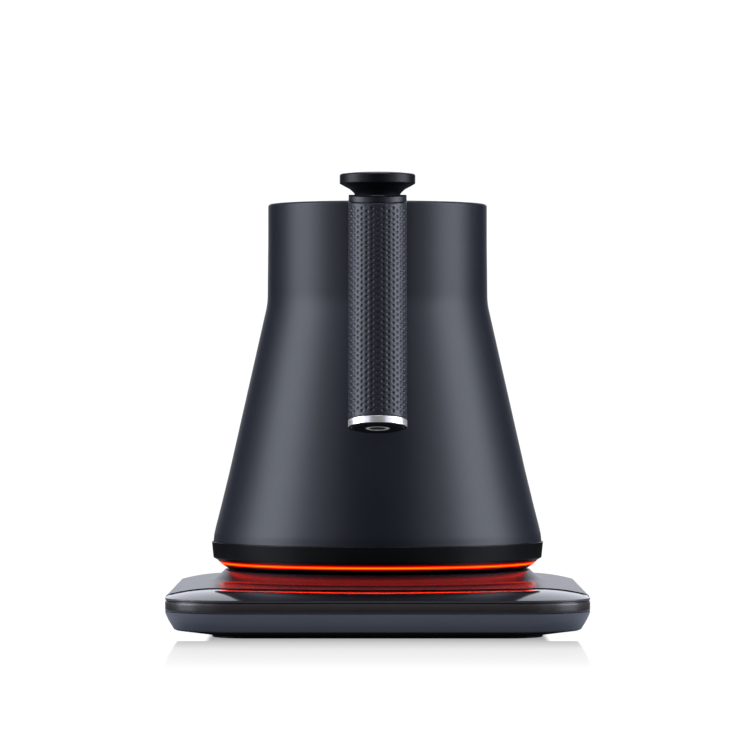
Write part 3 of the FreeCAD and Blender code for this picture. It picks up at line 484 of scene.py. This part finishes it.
def top_cover():
    """The plate with its podium: rows of points around the axis, cut off along the fascia's arc."""
    edge = ARC_R - ARC_GAP
    tip_y = ARC_Y - math.sqrt(edge ** 2 - BASE_HALF ** 2)
    tip = math.atan2(tip_y, BASE_HALF)
    around, extra, whole = 288, 24, 2 * math.pi
    angles = list(np.arange(around) * whole / around) + [tip % whole, (math.pi - tip) % whole]
    for k in range(extra):
        turn = math.radians(90.0 * (k + 0.5) / extra)
        spot = (BASE_HALF - BASE_REAR + BASE_REAR * math.cos(turn),
                BASE_BACK - BASE_REAR + BASE_REAR * math.sin(turn))
        angles += [math.atan2(spot[1], spot[0]), math.pi - math.atan2(spot[1], spot[0])]
    angles = np.sort(np.array(angles))
    sine = ARC_Y * np.sin(angles)
    arc = sine + np.sqrt(sine ** 2 - ARC_Y ** 2 + edge ** 2)
    outer = ray_reach(angles, 0.0)
    cut = arc < outer - 1e-6
    open_edge = np.roll(cut, -1) & cut
    inner = [(56.4, 22.6), (56.7, 22.9), (56.9, 23.65), (57.1, 23.8), (58.5, 23.8), (61, 23.8), (63.2, 23.8),
             (63.7, 23.76), (64.0, 23.6), (64.25, 23.3), (65.3, 22.3), (66.4, 21.3), (67.4, 20.4),
             (68.1, 19.85), (68.8, 19.5), (69.7, 19.2), (70.6, 19.0)]
    hub = [(20.6, COVER_UNDER), (20.6, PODIUM_TOP - 0.2), (20.8, PODIUM_TOP)]
    hub += [(r, PODIUM_TOP) for r in (24, 34, 45, 55)]
    rows = [(np.full_like(angles, r), np.full_like(angles, z)) for r, z in hub + inner]
    for k in (-3, -2, -1):
        reach, height = rows[k]
        rows[k] = (reach, np.maximum(height, crown(reach, angles)))
    end = np.where(cut, arc - 0.25, outer)
    steps = 34
    for k in range(1, steps + 1):
        t = 1 - (1 - k / steps) ** 1.25
        reach = PODIUM_FOOT + (end - PODIUM_FOOT) * t
        rows.append((reach, crown(reach, angles)))
    first_wall = len(rows)
    for back, drop in ((0.06, 0.05), (0.0, 0.4)):
        reach = np.where(cut, arc - back, rows[-1][0])
        height = crown(reach, angles)
        rows.append((reach, np.where(cut, np.maximum(height - drop, BAND_TOP), height)))
    last_wall = len(rows)
    rows.append((rows[-1][0], np.full_like(angles, BAND_TOP)))
    for r, z in ((COVER_IN + 6.0, BAND_TOP), (COVER_IN, BAND_TOP), (COVER_IN, COVER_UNDER)):
        rows.append((np.full_like(angles, r), np.full_like(angles, z)))
    verts = []
    for reach, height in rows:
        verts += np.stack([reach * np.cos(angles), reach * np.sin(angles), height], axis=1).tolist()
    # The edge wall along the fascia's arc takes the near-black finish: painted shade in the gap.
    wall = [first_wall <= k <= last_wall for k in range(len(rows))]
    kinds = [int(edge_wall and open_here) for edge_wall in wall for open_here in open_edge]
    return make("top_cover", verts, quads(len(rows), len(angles)), [BASE_PLATE, GAP_PAINTED_SHADE], "base",
                ["base_top_cover"], marks=kinds)


def front_fascia():
    """The gloss panel: columns across the front, rows from the base's edge back to the plate's arc."""
    edge = ARC_R + ARC_GAP
    sink, steps = 0.38, 24
    ends = [BASE_HALF - (ROLL + 6) * (k / steps) ** 1.3 for k in range(steps + 1)]
    middle = np.linspace(-ends[-1], ends[-1], 70)[1:-1]
    columns = np.array([-e for e in ends] + list(middle) + ends[::-1])
    r = BASE_CORNER
    over = np.clip(np.abs(columns) - BASE_HALF + r, 0, r)
    front = -BASE_FRONT + r - np.sqrt(np.maximum(0, r * r - over * over))
    back = ARC_Y - np.sqrt(edge ** 2 - columns ** 2)
    deep = 44
    shares = [(k / deep) ** 1.3 for k in range(deep + 1)]
    lines = [(front + (back - 0.25 - front) * share, sink * share) for share in shares]
    lines += [(back - 0.08, sink + 0.05), (back, 0.7)]
    rows = [(y, np.maximum(BAND_TOP, dome(columns, y) - drop)) for y, drop in lines]
    rows.append((back, np.full_like(columns, BAND_TOP)))
    verts = []
    for y, z in rows:
        verts += np.stack([columns, y, z], axis=1).tolist()
    return make("front_fascia", verts, quads(len(rows), len(columns), around=False), [FASCIA], "base",
                ["control_fascia"], sharp=50.0)


top_cover()
front_fascia()

# ------------------------------------------------------------ kettle body and spout

# The side below the rim: radius, height and the easing radius of each bend.
BODY_SIDE = [(68.8, 35.5, 0.0), (68.5, 38.6, 12.0), (67.6, 42.4, 30.0), (65.6, 50.2, 60.0),
             (62.05, 64.8, 200.0), (46.15, 135.2, 30.0), (RIM_R, 160.0, 0.0)]


def inner_side():
    """The inside of the 1 mm wall, thinned a little along the cone where the wall leans."""
    return [(r - (1.03 if 60 < z < 150 else 1.0), z, ease) for r, z, ease in BODY_SIDE]


def body_radius(z):
    return np.interp(z, [p[1] for p in BODY_SIDE], [p[0] for p in BODY_SIDE])


# The gooseneck's centre line: distance behind the axis, height and outer radius.
SPOUT = [(54.0, 61.0, 11.5), (64.0, 64.6, 10.6), (75.0, 70.4, 9.3), (83.5, 79.8, 8.0), (87.6, 93.0, 7.1),
         (89.8, 110.0, 6.5), (91.4, 128.0, 6.0), (94.4, 146.0, 5.6), (101.5, 161.0, 5.2),
         (113.0, 171.0, 4.9), (125.0, 174.2, 4.7), (134.0, 172.6, 4.6)]


def spline(points, count):
    """A smooth centripetal curve through the points, evenly sampled by length."""
    points = np.array(points, dtype=float)
    ends = np.vstack([2 * points[0] - points[1], points, 2 * points[-1] - points[-2]])
    dense = []
    for i in range(1, len(ends) - 2):
        p0, p1, p2, p3 = ends[i - 1:i + 3]
        t0 = 0.0
        t1 = t0 + np.linalg.norm(p1[:2] - p0[:2]) ** 0.5
        t2 = t1 + np.linalg.norm(p2[:2] - p1[:2]) ** 0.5
        t3 = t2 + np.linalg.norm(p3[:2] - p2[:2]) ** 0.5
        for t in np.linspace(t1, t2, 40, endpoint=False):
            a1 = (t1 - t) / (t1 - t0) * p0 + (t - t0) / (t1 - t0) * p1
            a2 = (t2 - t) / (t2 - t1) * p1 + (t - t1) / (t2 - t1) * p2
            a3 = (t3 - t) / (t3 - t2) * p2 + (t - t2) / (t3 - t2) * p3
            b1 = (t2 - t) / (t2 - t0) * a1 + (t - t0) / (t2 - t0) * a2
            b2 = (t3 - t) / (t3 - t1) * a2 + (t - t1) / (t3 - t1) * a3
            dense.append((t2 - t) / (t2 - t1) * b1 + (t - t1) / (t2 - t1) * b2)
    dense.append(points[-1])
    dense = np.array(dense)
    for _ in range(60):
        dense[1:-1] = (dense[:-2] + 2 * dense[1:-1] + dense[2:]) / 4
    length = np.concatenate([[0], np.cumsum(np.linalg.norm(np.diff(dense[:, :2], axis=0), axis=1))])
    at = np.linspace(0, length[-1], count)
    return np.stack([np.interp(at, length, dense[:, c]) for c in range(3)], axis=1), at


def tube_rings(path, radii, around):
    """Rings across a path in the YZ plane, and the path's direction at each of them."""
    slope = np.gradient(path, axis=0)
    slope /= np.linalg.norm(slope, axis=1)[:, None]
    angle = np.arange(around) * 2 * math.pi / around
    side, rise = np.cos(angle), np.sin(angle)
    rings = np.zeros((len(path), around, 3))
    rings[:, :, 0] = radii[:, None] * side[None, :]
    rings[:, :, 1] = path[:, 0][:, None] - radii[:, None] * rise[None, :] * slope[:, 1][:, None]
    rings[:, :, 2] = path[:, 1][:, None] + radii[:, None] * rise[None, :] * slope[:, 0][:, None]
    return rings, slope


def gooseneck():
    """The spout: an outer tube that ends on the body's side, a rounded lip and an inner tube."""
    around, count = 56, 190
    curve, at = spline(SPOUT, count)
    path, radii = curve[:, :2], curve[:, 2].copy()
    wall = np.argmax(path[:, 0] > body_radius(path[:, 1]))
    radii += 2.0 * np.exp(-np.maximum(0, at - at[wall] - 1.0) / 2.6)
    outer, slope = tube_rings(path, radii, around)
    for k in range(count):
        for i in range(around):
            p = outer[k, i]
            for _ in range(60):
                if math.hypot(p[0], p[1]) >= body_radius(p[2]) - 0.25:
                    break
                p = p + np.array([0, slope[k, 0], slope[k, 1]]) * 0.35
            outer[k, i] = p
    inner, _ = tube_rings(path, np.minimum(radii, curve[:, 2]) - SPOUT_WALL, around)
    tip = path[-1]
    ahead = np.array([slope[-1, 0], slope[-1, 1]])
    lip = []
    for forward, size in ((0.25, 4.6), (0.42, 4.45), (0.48, 4.2), (0.42, 3.95), (0.25, 3.8)):
        spot = np.array([tip + ahead * forward])
        ring, _ = tube_rings(np.vstack([spot - ahead * 0.01, spot]), np.array([size, size]), around)
        lip.append(ring[1])
    rings = list(outer) + lip + list(inner[::-1])
    return make("spout", np.concatenate(rings), quads(len(rings), around), [BODY_PAINT], "kettle",
                ["gooseneck_spout"], sharp=60.0)


def spout_cutter():
    """A plug through the body's side, as wide as the spout's bore."""
    around, count = 48, 30
    curve, _ = spline([(36.0, 55.0, 11.5)] + SPOUT[:3], count)
    rings, _ = tube_rings(curve[:, :2], curve[:, 2] - SPOUT_WALL, around)
    mesh = bpy.data.meshes.new("inlet_cutter")
    faces = end_faces(count, around) + quads(count, around, loop=False)
    mesh.from_pydata((np.concatenate(list(rings)) * MM).tolist(), [], faces)
    cutter = bpy.data.objects.new("inlet_cutter", mesh)
    bpy.context.scene.collection.objects.link(cutter)
    work = bmesh.new()
    work.from_mesh(mesh)
    bmesh.ops.recalc_face_normals(work, faces=work.faces)
    work.to_mesh(mesh)
    work.free()
    return cutter


def kettle_shell():
    """The painted body with its steel inside and a hole where the spout starts."""
    outline = BODY_SIDE + [(RIM_R, RIM_TOP, 1.2), (LID_OPENING, RIM_TOP, 1.1),
                           (LID_OPENING, RIM_TOP - 2.6, 0.4), (NECK_IN, RIM_TOP - 3.6, 0.0)]
    outline += inner_side()[::-1]

    def kind(a, b):
        middle = (a + b) / 2
        return int(middle[0] < body_radius(middle[1]) - 0.6 and middle[1] < RIM_TOP - 1.6)

    shell = lathe("kettle_shell", outline, [BODY_PAINT, STEEL_IN], "kettle",
                  ["kettle_body"], around=240, step=1.6, marks=kind, sharp=40.0)
    cutter = spout_cutter()
    modifier = shell.modifiers.new("inlet", "BOOLEAN")
    modifier.object = cutter
    modifier.operation = "DIFFERENCE"
    modifier.solver = "EXACT"
    graph = bpy.context.evaluated_depsgraph_get()
    done = bpy.data.meshes.new_from_object(shell.evaluated_get(graph))
    shell.modifiers.clear()
    done.name = "kettle_shell"
    shell.data = done
    bpy.data.objects.remove(cutter)
    done.shade_smooth()
    done.set_sharp_from_angle(angle=math.radians(40))
    return shell


gooseneck()
kettle_shell()

# ------------------------------------------------------------ kettle: rings under the body

lathe("bottom_ring", [(64.0, 27.75), (67.0, 27.72, 0.25), (68.85, 28.75, 0.5), (69.5, 35.4, 0.25),
                      (66.6, 35.4), (66.2, 38.4), (64.2, 38.4), (64.2, 34.2), (47.6, 34.2), (47.6, 32.4),
                      (64.0, 32.4)],
      [RING_BLACK], "kettle", ["bottom_ring"], around=216)
lathe("light_ring", [(62.9, 26.1), (64.9, 25.82), (65.25, 25.85, 0.15), (67.05, 27.6, 0.15),
                     (63.8, LIGHT_TOP), (63.8, 31.2), (62.9, 31.2)],
      [LIGHT], "kettle", ["light_ring"], around=216, step=0.4)
lathe("bottom_cover", [(22.4, 24.2, 0.3), (62.4, 24.2, 0.5), (64.85, 25.72, 0.2), (62.7, 26.0), (62.7, 29.0),
                       (60.9, 29.0), (60.9, 26.4), (24.8, 26.4), (24.8, 36.0), (22.4, 36.0)],
      [RING_BLACK], "kettle", (), around=192, step=4)

# ------------------------------------------------------------ lid

lathe("lid_top", [(2.2, RIM_TOP - 3.7), (43.1, RIM_TOP - 3.7, 0.3), (43.1, RIM_TOP - 1.5, 0.6),
                  (26.0, RIM_TOP - 1.0, 30), (2.2, RIM_TOP - 1.0)],
      [BODY_PAINT], "lid", ["lid_plate"], around=192)
lathe("lid_knob", [(0, 190.2), (10.0, 190.1, 20), (15.9, 189.45, 0.9), (15.9, 185.45, 0.55),
                   (14.3, 184.5, 1.2), (11.8, 183.2, 4.0), (9.8, 181.5, 4.0), (8.7, 178.6, 4.0),
                   (9.7, RIM_TOP - 0.9), (2.2, RIM_TOP - 0.9), (2.2, 184.9), (0, 184.9)],
      [KNOB_BLACK], "lid", ["lid_knob"], around=144, step=1.2)
lathe("lid_cup", [(38.2, RIM_TOP - 3.72), (41.2, RIM_TOP - 3.72), (41.2, RIM_TOP - 7.0, 0.2),
                  (40.0, RIM_TOP - 7.0), (40.0, RIM_TOP - 10.0), (41.2, RIM_TOP - 10.0, 0.2),
                  (41.2, RIM_TOP - 12.8, 0.8), (30, RIM_TOP - 12.8), (0, RIM_TOP - 12.8),
                  (0, RIM_TOP - 11.8), (38.2, RIM_TOP - 11.8)],
      [STEEL_IN], "lid", ["lid_cup"], around=144)
lathe("lid_seal", [(40.0, RIM_TOP - 10), (41.1, RIM_TOP - 10, 0.3), (41.5, RIM_TOP - 9.2, 0.4),
                   (41.5, RIM_TOP - 7.8, 0.4), (41.1, RIM_TOP - 7.0, 0.3), (40.0, RIM_TOP - 7.0)],
      [SILICONE], "lid", ["lid_seal"], around=144, step=1)

# ------------------------------------------------------------ handle

HANDLE = Matrix.Translation(GRIP_AT) @ Matrix.Rotation(GRIP_TILT, 4, "X")


def seam_shift(verts):
    """Tilts the grip's top to the seam's slope, starting 30 mm below it and in full from 6 mm."""
    height = verts[..., 2].copy()
    share = np.clip((height + 30.0) / 24.0, 0, 1)
    verts[..., 2] = height + share * SEAM_SLOPE * verts[..., 1]
    return verts


def dimpled_grip():
    """The sleeve with hexagonally packed dimples, and its inner bore."""
    columns, pitch, reach, depth = 34, 2.36, 0.7, 0.36
    per_column = 8
    around = columns * per_column
    low, high = -GRIP_LEN + 3.05, 0.0
    start, finish = -0.9, low + 1.3
    rows = int((high - low) / 0.275)
    z = np.linspace(low, high, rows + 1)
    angle = np.arange(around) * 2 * math.pi / around - math.pi / 2
    turn = (np.arange(around) / per_column)[:, None]
    zz = z[None, :]
    dip = np.zeros((around, len(z)))
    arc = 2 * math.pi * GRIP_R / columns
    for offset in (0, 1):
        column = np.round((turn - offset) / 2) * 2 + offset
        across = (turn - column) * arc
        row = np.round((zz - start - offset * pitch / 2) / pitch)
        centre = start + offset * pitch / 2 + row * pitch
        along = zz - centre
        fade = np.clip((start + 0.2 - centre) / 0.6, 0, 1) * np.clip((centre - finish) / 0.6, 0, 1)
        far = np.sqrt(across ** 2 + along ** 2) / reach
        bowl = np.maximum(0.0, 1 - far ** 2) ** 1.1
        dip = np.maximum(dip, bowl * fade)
    radius = GRIP_R - depth * dip
    radius[:, 0] -= 0.12
    radius[:, -1] -= 0.18
    grid = np.zeros((around, len(z), 3))
    grid[:, :, 0] = radius * np.cos(angle)[:, None]
    grid[:, :, 1] = radius * np.sin(angle)[:, None]
    grid[:, :, 2] = zz
    bore = np.zeros((around, 2, 3))
    for k, height in enumerate((high, low)):
        bore[:, k, 0] = GRIP_BORE * np.cos(angle)
        bore[:, k, 1] = GRIP_BORE * np.sin(angle)
        bore[:, k, 2] = height
    whole = seam_shift(np.concatenate([grid, bore], axis=1))
    n = whole.shape[1]
    faces = []
    for i in range(around):
        j = (i + 1) % around
        for k in range(n):
            m = (k + 1) % n
            faces.append((i * n + k, j * n + k, j * n + m, i * n + m))
    return make("grip", whole.reshape(-1, 3), faces, [GRIP], "kettle", ["handle_grip"],
                sharp=60.0, place=HANDLE)


def cap_shift(verts):
    """Tilts the cap to the seam's slope and levels off what would rise too far above GRIP_AT."""
    level = 2.9
    verts[..., 2] += SEAM_SLOPE * verts[..., 1]
    top = (verts[..., 2] - SEAM_SLOPE * verts[..., 1]) > 1.8
    lift = verts[..., 2] * math.cos(GRIP_TILT) + verts[..., 1] * math.sin(GRIP_TILT)
    verts[..., 2] = np.where(top & (lift > level), verts[..., 2] - (lift - level), verts[..., 2])
    return verts


dimpled_grip()
# The cap's top facet takes the dark, unreflecting finish: a painted dark reflection of the knob.
lathe("grip_cap", [(0, 3.0), (GRIP_R - 0.05, 3.0, 0.55), (GRIP_R - 0.05, 0.28, 0.15), (0, 0.28)],
      [BODY_PAINT, CAP_TOP_PAINTED_REFLECTION], "kettle", around=120, step=1.5, place=HANDLE,
      shift=cap_shift, marks=lambda a, b: int(min(a[1], b[1]) > 2.5))
lathe("end_ring", [(GRIP_BORE, -GRIP_LEN + 2.9), (GRIP_R + 0.02, -GRIP_LEN + 2.9, 0.12),
                   (GRIP_R + 0.02, -GRIP_LEN, 0.35), (10.5, -GRIP_LEN, 0.15), (10.5, -GRIP_LEN + 1.8),
                   (GRIP_BORE, -GRIP_LEN + 1.8)],
      [STEEL, KNOB_BLACK], "kettle", ["handle_end_ring"], around=120, step=0.6,
      place=HANDLE, marks=lambda a, b: int(max(a[1], b[1]) < -GRIP_LEN + 0.2))
lathe("end_cap", [(4.85, -GRIP_LEN + 1.7), (10.4, -GRIP_LEN + 1.7), (10.4, -GRIP_LEN - 0.15, 0.3),
                  (9.6, -GRIP_LEN - 0.5, 1.0), (5.3, -GRIP_LEN - 0.5, 0.3), (4.85, -GRIP_LEN + 0.3)],
      [KNOB_BLACK], "kettle", ["handle_end_cap"], around=96, step=1, place=HANDLE)
lathe("end_disc", [(0, -GRIP_LEN + 1.7), (4.7, -GRIP_LEN + 1.7), (4.7, -GRIP_LEN - 0.25, 0.15),
                   (3.4, -GRIP_LEN - 0.32, 0.2), (3.1, -GRIP_LEN - 0.05, 0.15), (0, -GRIP_LEN - 0.05)],
      [STEEL_DARK, STEEL], "kettle", ["handle_end_disc"], around=72, step=0.5, place=HANDLE,
      marks=lambda a, b: int(min(a[0], b[0]) > 3.3))


def handle_arm():
    """The arm between the neck and the grip, lofted through rounded sections. Its ends follow the
    neck and the leaning grip."""
    high, corner = 176.6, 2.4
    stations = [  # reach from the axis, half width, lowest point
        (44.9, 9.6, 153.6), (46.1, 9.4, 153.9), (47.5, 9.1, 154.1), (50.5, 9.0, 154.6), (53.0, 9.0, 155.7),
        (55.5, 9.0, 157.3), (60.0, 9.0, 161.2), (66.0, 9.0, 164.5), (74.2, 9.0, 165.5),
    ]
    reaches, halves, lows = np.array(stations).T
    root_end = 50.0
    rings = []
    for reach in [*np.linspace(reaches[0], root_end, 14), *np.linspace(root_end, reaches[-1], 22)[1:]]:
        half, low = np.interp(reach, reaches, halves), np.interp(reach, reaches, lows)
        ring = []
        for cx, cz, first in ((half - corner, high - corner, 0), (-half + corner, high - corner, 90),
                              (-half + corner, low + corner, 180), (half - corner, low + corner, 270)):
            for k in range(9):
                angle = math.radians(first + 90 * k / 8)
                ring.append([cx + corner * math.cos(angle), -reach, cz + corner * math.sin(angle)])
        rings.append(ring)
    rings = np.array(rings)
    for _ in range(3):
        rings[1:-1, :, 2] = (rings[:-2, :, 2] + 2 * rings[1:-1, :, 2] + rings[2:, :, 2]) / 4
    near, away = rings[0], rings[-1]
    near[:, 1] = -np.sqrt((RIM_R - 0.2) ** 2 - near[:, 0] ** 2)
    centre = GRIP_AT.y + (GRIP_AT.z - away[:, 2]) * math.tan(GRIP_TILT)
    stretch = 1.018
    away[:, 1] = centre + np.sqrt((GRIP_R + 0.05) ** 2 - away[:, 0] ** 2) * stretch
    count, around = rings.shape[:2]
    faces = end_faces(count, around) + quads(count, around, loop=False)
    return make("handle_arm_bar", rings.reshape(-1, 3), faces, [BODY_PAINT], "kettle",
                ["handle_arm"], sharp=40.0)


handle_arm()

# ------------------------------------------------------------ carried-over CAD nodes

CARRIED = {
    "base_screws": STEEL_DARK, "display_module": DISPLAY, "touch_board": BOARD, "control_board": BOARD,
    "power_board": BOARD, "power_relay": BLACK_MOULDED, "connector_housing": BLACK_MOULDED,
    "connector_contacts": BRASS, "cord_gland": RUBBER, "appliance_socket": BLACK_MOULDED,
    "socket_contacts": BRASS, "heater_plate": STEEL_IN, "heater_gasket": SILICONE, "heat_spreader": ALU,
    "heating_element": STEEL_DARK, "temperature_probe": STEEL_IN, "light_board": BOARD,
    "light_emitters": LED, "bottom_cover": RING_BLACK, "bottom_screws": STEEL_DARK,
    "lid_seat_ring": STEEL_IN, "handle_backing_plate": STEEL_IN, "handle_screws": STEEL_DARK,
    "handle_core": ALU, "knob_screw": STEEL_DARK,
}
for node, material in CARRIED.items():
    carried = frame["nodes"][node]
    if not carried.material_slots:
        carried.data.materials.append(material)
    for place in carried.material_slots:
        place.material = material

# ------------------------------------------------------------ stage: floor, world, lights, camera

scene = bpy.context.scene


class Tree:
    """Short helpers for the stage's node trees."""

    def __init__(self, tree):
        self.tree = tree
        tree.nodes.clear()

    def new(self, kind, **values):
        node = self.tree.nodes.new(kind)
        for key, value in values.items():
            setattr(node, key, value)
        return node

    def feed(self, socket, value):
        if isinstance(value, bpy.types.NodeSocket):
            self.tree.links.new(value, socket)
        else:
            socket.default_value = value

    def math(self, operation, a, b=0.0):
        node = self.new("ShaderNodeMath", operation=operation)
        self.feed(node.inputs[0], a)
        self.feed(node.inputs[1], b)
        return node.outputs[0]

    def span(self, source, start, end, low, high, kind="SMOOTHSTEP"):
        node = self.new("ShaderNodeMapRange", interpolation_type=kind)
        for key, value in (("From Min", start), ("From Max", end), ("To Min", low), ("To Max", high)):
            node.inputs[key].default_value = value
        self.feed(node.inputs["Value"], source)
        return node.outputs["Result"]

    def shade(self, kind, **values):
        node = self.new(kind)
        for key, value in values.items():
            self.feed(node.inputs[key], value)
        return node.outputs[0]

    def mix(self, share, a, b):
        node = self.new("ShaderNodeMixShader")
        self.feed(node.inputs[0], share)
        self.feed(node.inputs[1], a)
        self.feed(node.inputs[2], b)
        return node.outputs[0]

    def outside(self, socket, middle, half):
        """How far the value is past middle - half or middle + half."""
        away = self.math("ABSOLUTE", self.math("SUBTRACT", socket, middle))
        return self.math("MAXIMUM", self.math("SUBTRACT", away, half), 0.0)

    def length(self, a, b):
        return self.math("SQRT", self.math("ADD", self.math("MULTIPLY", a, a), self.math("MULTIPLY", b, b)))

    def split(self, socket):
        node = self.new("ShaderNodeSeparateXYZ")
        self.feed(node.inputs[0], socket)
        return node.outputs


def floor():
    """A white sheet. It mirrors the foot faintly at a low angle and takes soft shadows from above."""
    mesh = bpy.data.meshes.new("floor")
    size = 12.0
    mesh.from_pydata([(-size, -size, 0), (size, -size, 0), (size, size, 0), (-size, size, 0)], [],
                     [(0, 1, 2, 3)])
    obj = bpy.data.objects.new("floor", mesh)
    scene.collection.objects.link(obj)
    material = bpy.data.materials.new("floor")
    material.use_nodes = True
    t = Tree(material.node_tree)
    x, y, _ = t.split(t.new("ShaderNodeTexCoord").outputs["Object"])
    foot_half, foot_half_deep, foot_middle = 0.066, 0.083, -0.0125
    far = t.length(t.outside(x, 0.0, foot_half), t.outside(y, foot_middle, foot_half_deep))
    weight = t.new("ShaderNodeLayerWeight")
    low = t.span(weight.outputs["Facing"], 0.80, 0.92, 0.0, 1.0)
    near = t.new("ShaderNodeValToRGB")
    ramp = near.color_ramp
    for _ in range(3):
        ramp.elements.new(0.5)
    for element, (at, value) in zip(ramp.elements, ((0.0, 0.62), (0.14, 0.42), (0.34, 0.22), (0.72, 0.12),
                                                    (1.0, 0.0))):
        element.position = at
        element.color = (value, value, value, 1)
    t.feed(near.inputs["Fac"], t.math("DIVIDE", far, 0.2))
    mirror = t.math("MULTIPLY", near.outputs["Color"], t.math("ADD", t.math("MULTIPLY", low, 0.9), 0.1))
    under = t.math("MULTIPLY", t.span(t.math("ABSOLUTE", x), foot_half, foot_half + 0.003, 0.0, 1.0),
                   t.span(y, -0.116, -0.11, 0.0, 1.0))
    mirror = t.math("MULTIPLY", mirror, t.math("SUBTRACT", 1.0, t.math("MULTIPLY", under, low)))
    white = t.shade("ShaderNodeEmission", Color=(1, 1, 1, 1), Strength=1.04)
    soft = t.new("ShaderNodeAddShader")
    t.feed(soft.inputs[0], t.shade("ShaderNodeEmission", Color=(1, 1, 1, 1), Strength=0.55))
    t.feed(soft.inputs[1], t.shade("ShaderNodeBsdfDiffuse", Color=(0.8, 0.8, 0.8, 1)))
    seen = t.mix(low, soft.outputs[0], white)
    gloss = t.shade("ShaderNodeBsdfGlossy", Color=(1, 1, 1, 1), Roughness=0.05)
    seen = t.mix(mirror, seen, gloss)
    band = t.math("MULTIPLY", t.span(far, 0.012, 0.03, 0.0, 1.0), t.span(far, 0.045, 0.13, 1.0, 0.0))
    bounce = t.shade("ShaderNodeEmission", Color=(0.9, 0.93, 1, 1),
                     Strength=t.math("ADD", t.math("MULTIPLY", band, 0.57), 0.012))
    rays = t.new("ShaderNodeLightPath")
    t.feed(t.new("ShaderNodeOutputMaterial").inputs["Surface"],
           t.mix(rays.outputs["Is Camera Ray"], bounce, seen))
    mesh.materials.append(material)


def world():
    """White to the camera. To the object, a bright wall behind it and little else."""
    sky = bpy.data.worlds.new("studio")
    scene.world = sky
    sky.use_nodes = True
    t = Tree(sky.node_tree)
    x, y, z = t.split(t.new("ShaderNodeTexCoord").outputs["Generated"])
    turn = t.math("DIVIDE", y, t.math("MAXIMUM", t.length(x, y), 0.001))
    wall = t.math("MULTIPLY", t.span(turn, 0.88, 0.975, 0.0, 1.0), t.span(z, 0.55, 0.8, 1.0, 0.0))
    light = t.shade("ShaderNodeBackground", Color=(0.87, 0.9, 1.0, 1),
                    Strength=t.math("ADD", t.math("MULTIPLY", wall, 1.1), 0.012))
    seen = t.shade("ShaderNodeBackground", Color=(1, 1, 1, 1), Strength=1.05)
    rays = t.new("ShaderNodeLightPath")
    t.feed(t.new("ShaderNodeOutputWorld").inputs["Surface"],
           t.mix(rays.outputs["Is Camera Ray"], light, seen))


def softbox(name, at, look, width, height, power, colour):
    """A rectangular lamp at one point, facing another."""
    data = bpy.data.lights.new(name, "AREA")
    data.shape = "RECTANGLE"
    data.size = width
    data.size_y = height
    data.energy = power
    data.color = colour
    obj = bpy.data.objects.new(name, data)
    scene.collection.objects.link(obj)
    obj.location = at
    obj.rotation_euler = (Vector(look) - Vector(at)).to_track_quat("-Z", "Y").to_euler()


floor()
world()
COOL = (0.82, 0.87, 1.0)
for side in (-1, 1):
    softbox("side_box", (1.2 * side, -0.16, 0.42), (0, 0, 0.12), 0.8, 1.2, 15.6, COOL)
    softbox("fill_box", (1.05 * side, -0.62, 0.45), (0, 0, 0.1), 0.5, 1.1, 1.3, COOL)
    softbox("strip_box", (0.75 * side, -0.96, 0.45), (0, 0, 0.1), 0.25, 1.1, 1.0, COOL)
softbox("top_box", (0, 0.10, 1.4), (0, 0, 0.1), 0.7, 0.5, 9, (0.9, 0.94, 1.0))

# A long lens level with the middle of the body, looking at the handle.
camera = bpy.data.objects.new("camera", bpy.data.cameras.new("camera"))
camera.data.lens = 216.0
camera.data.sensor_width = 36.0
camera.location = (-0.00105, -1.890, 0.10508)
camera.rotation_euler = (math.radians(90), 0, 0)
scene.collection.objects.link(camera)
scene.camera = camera
scene.view_settings.view_transform = "Standard"
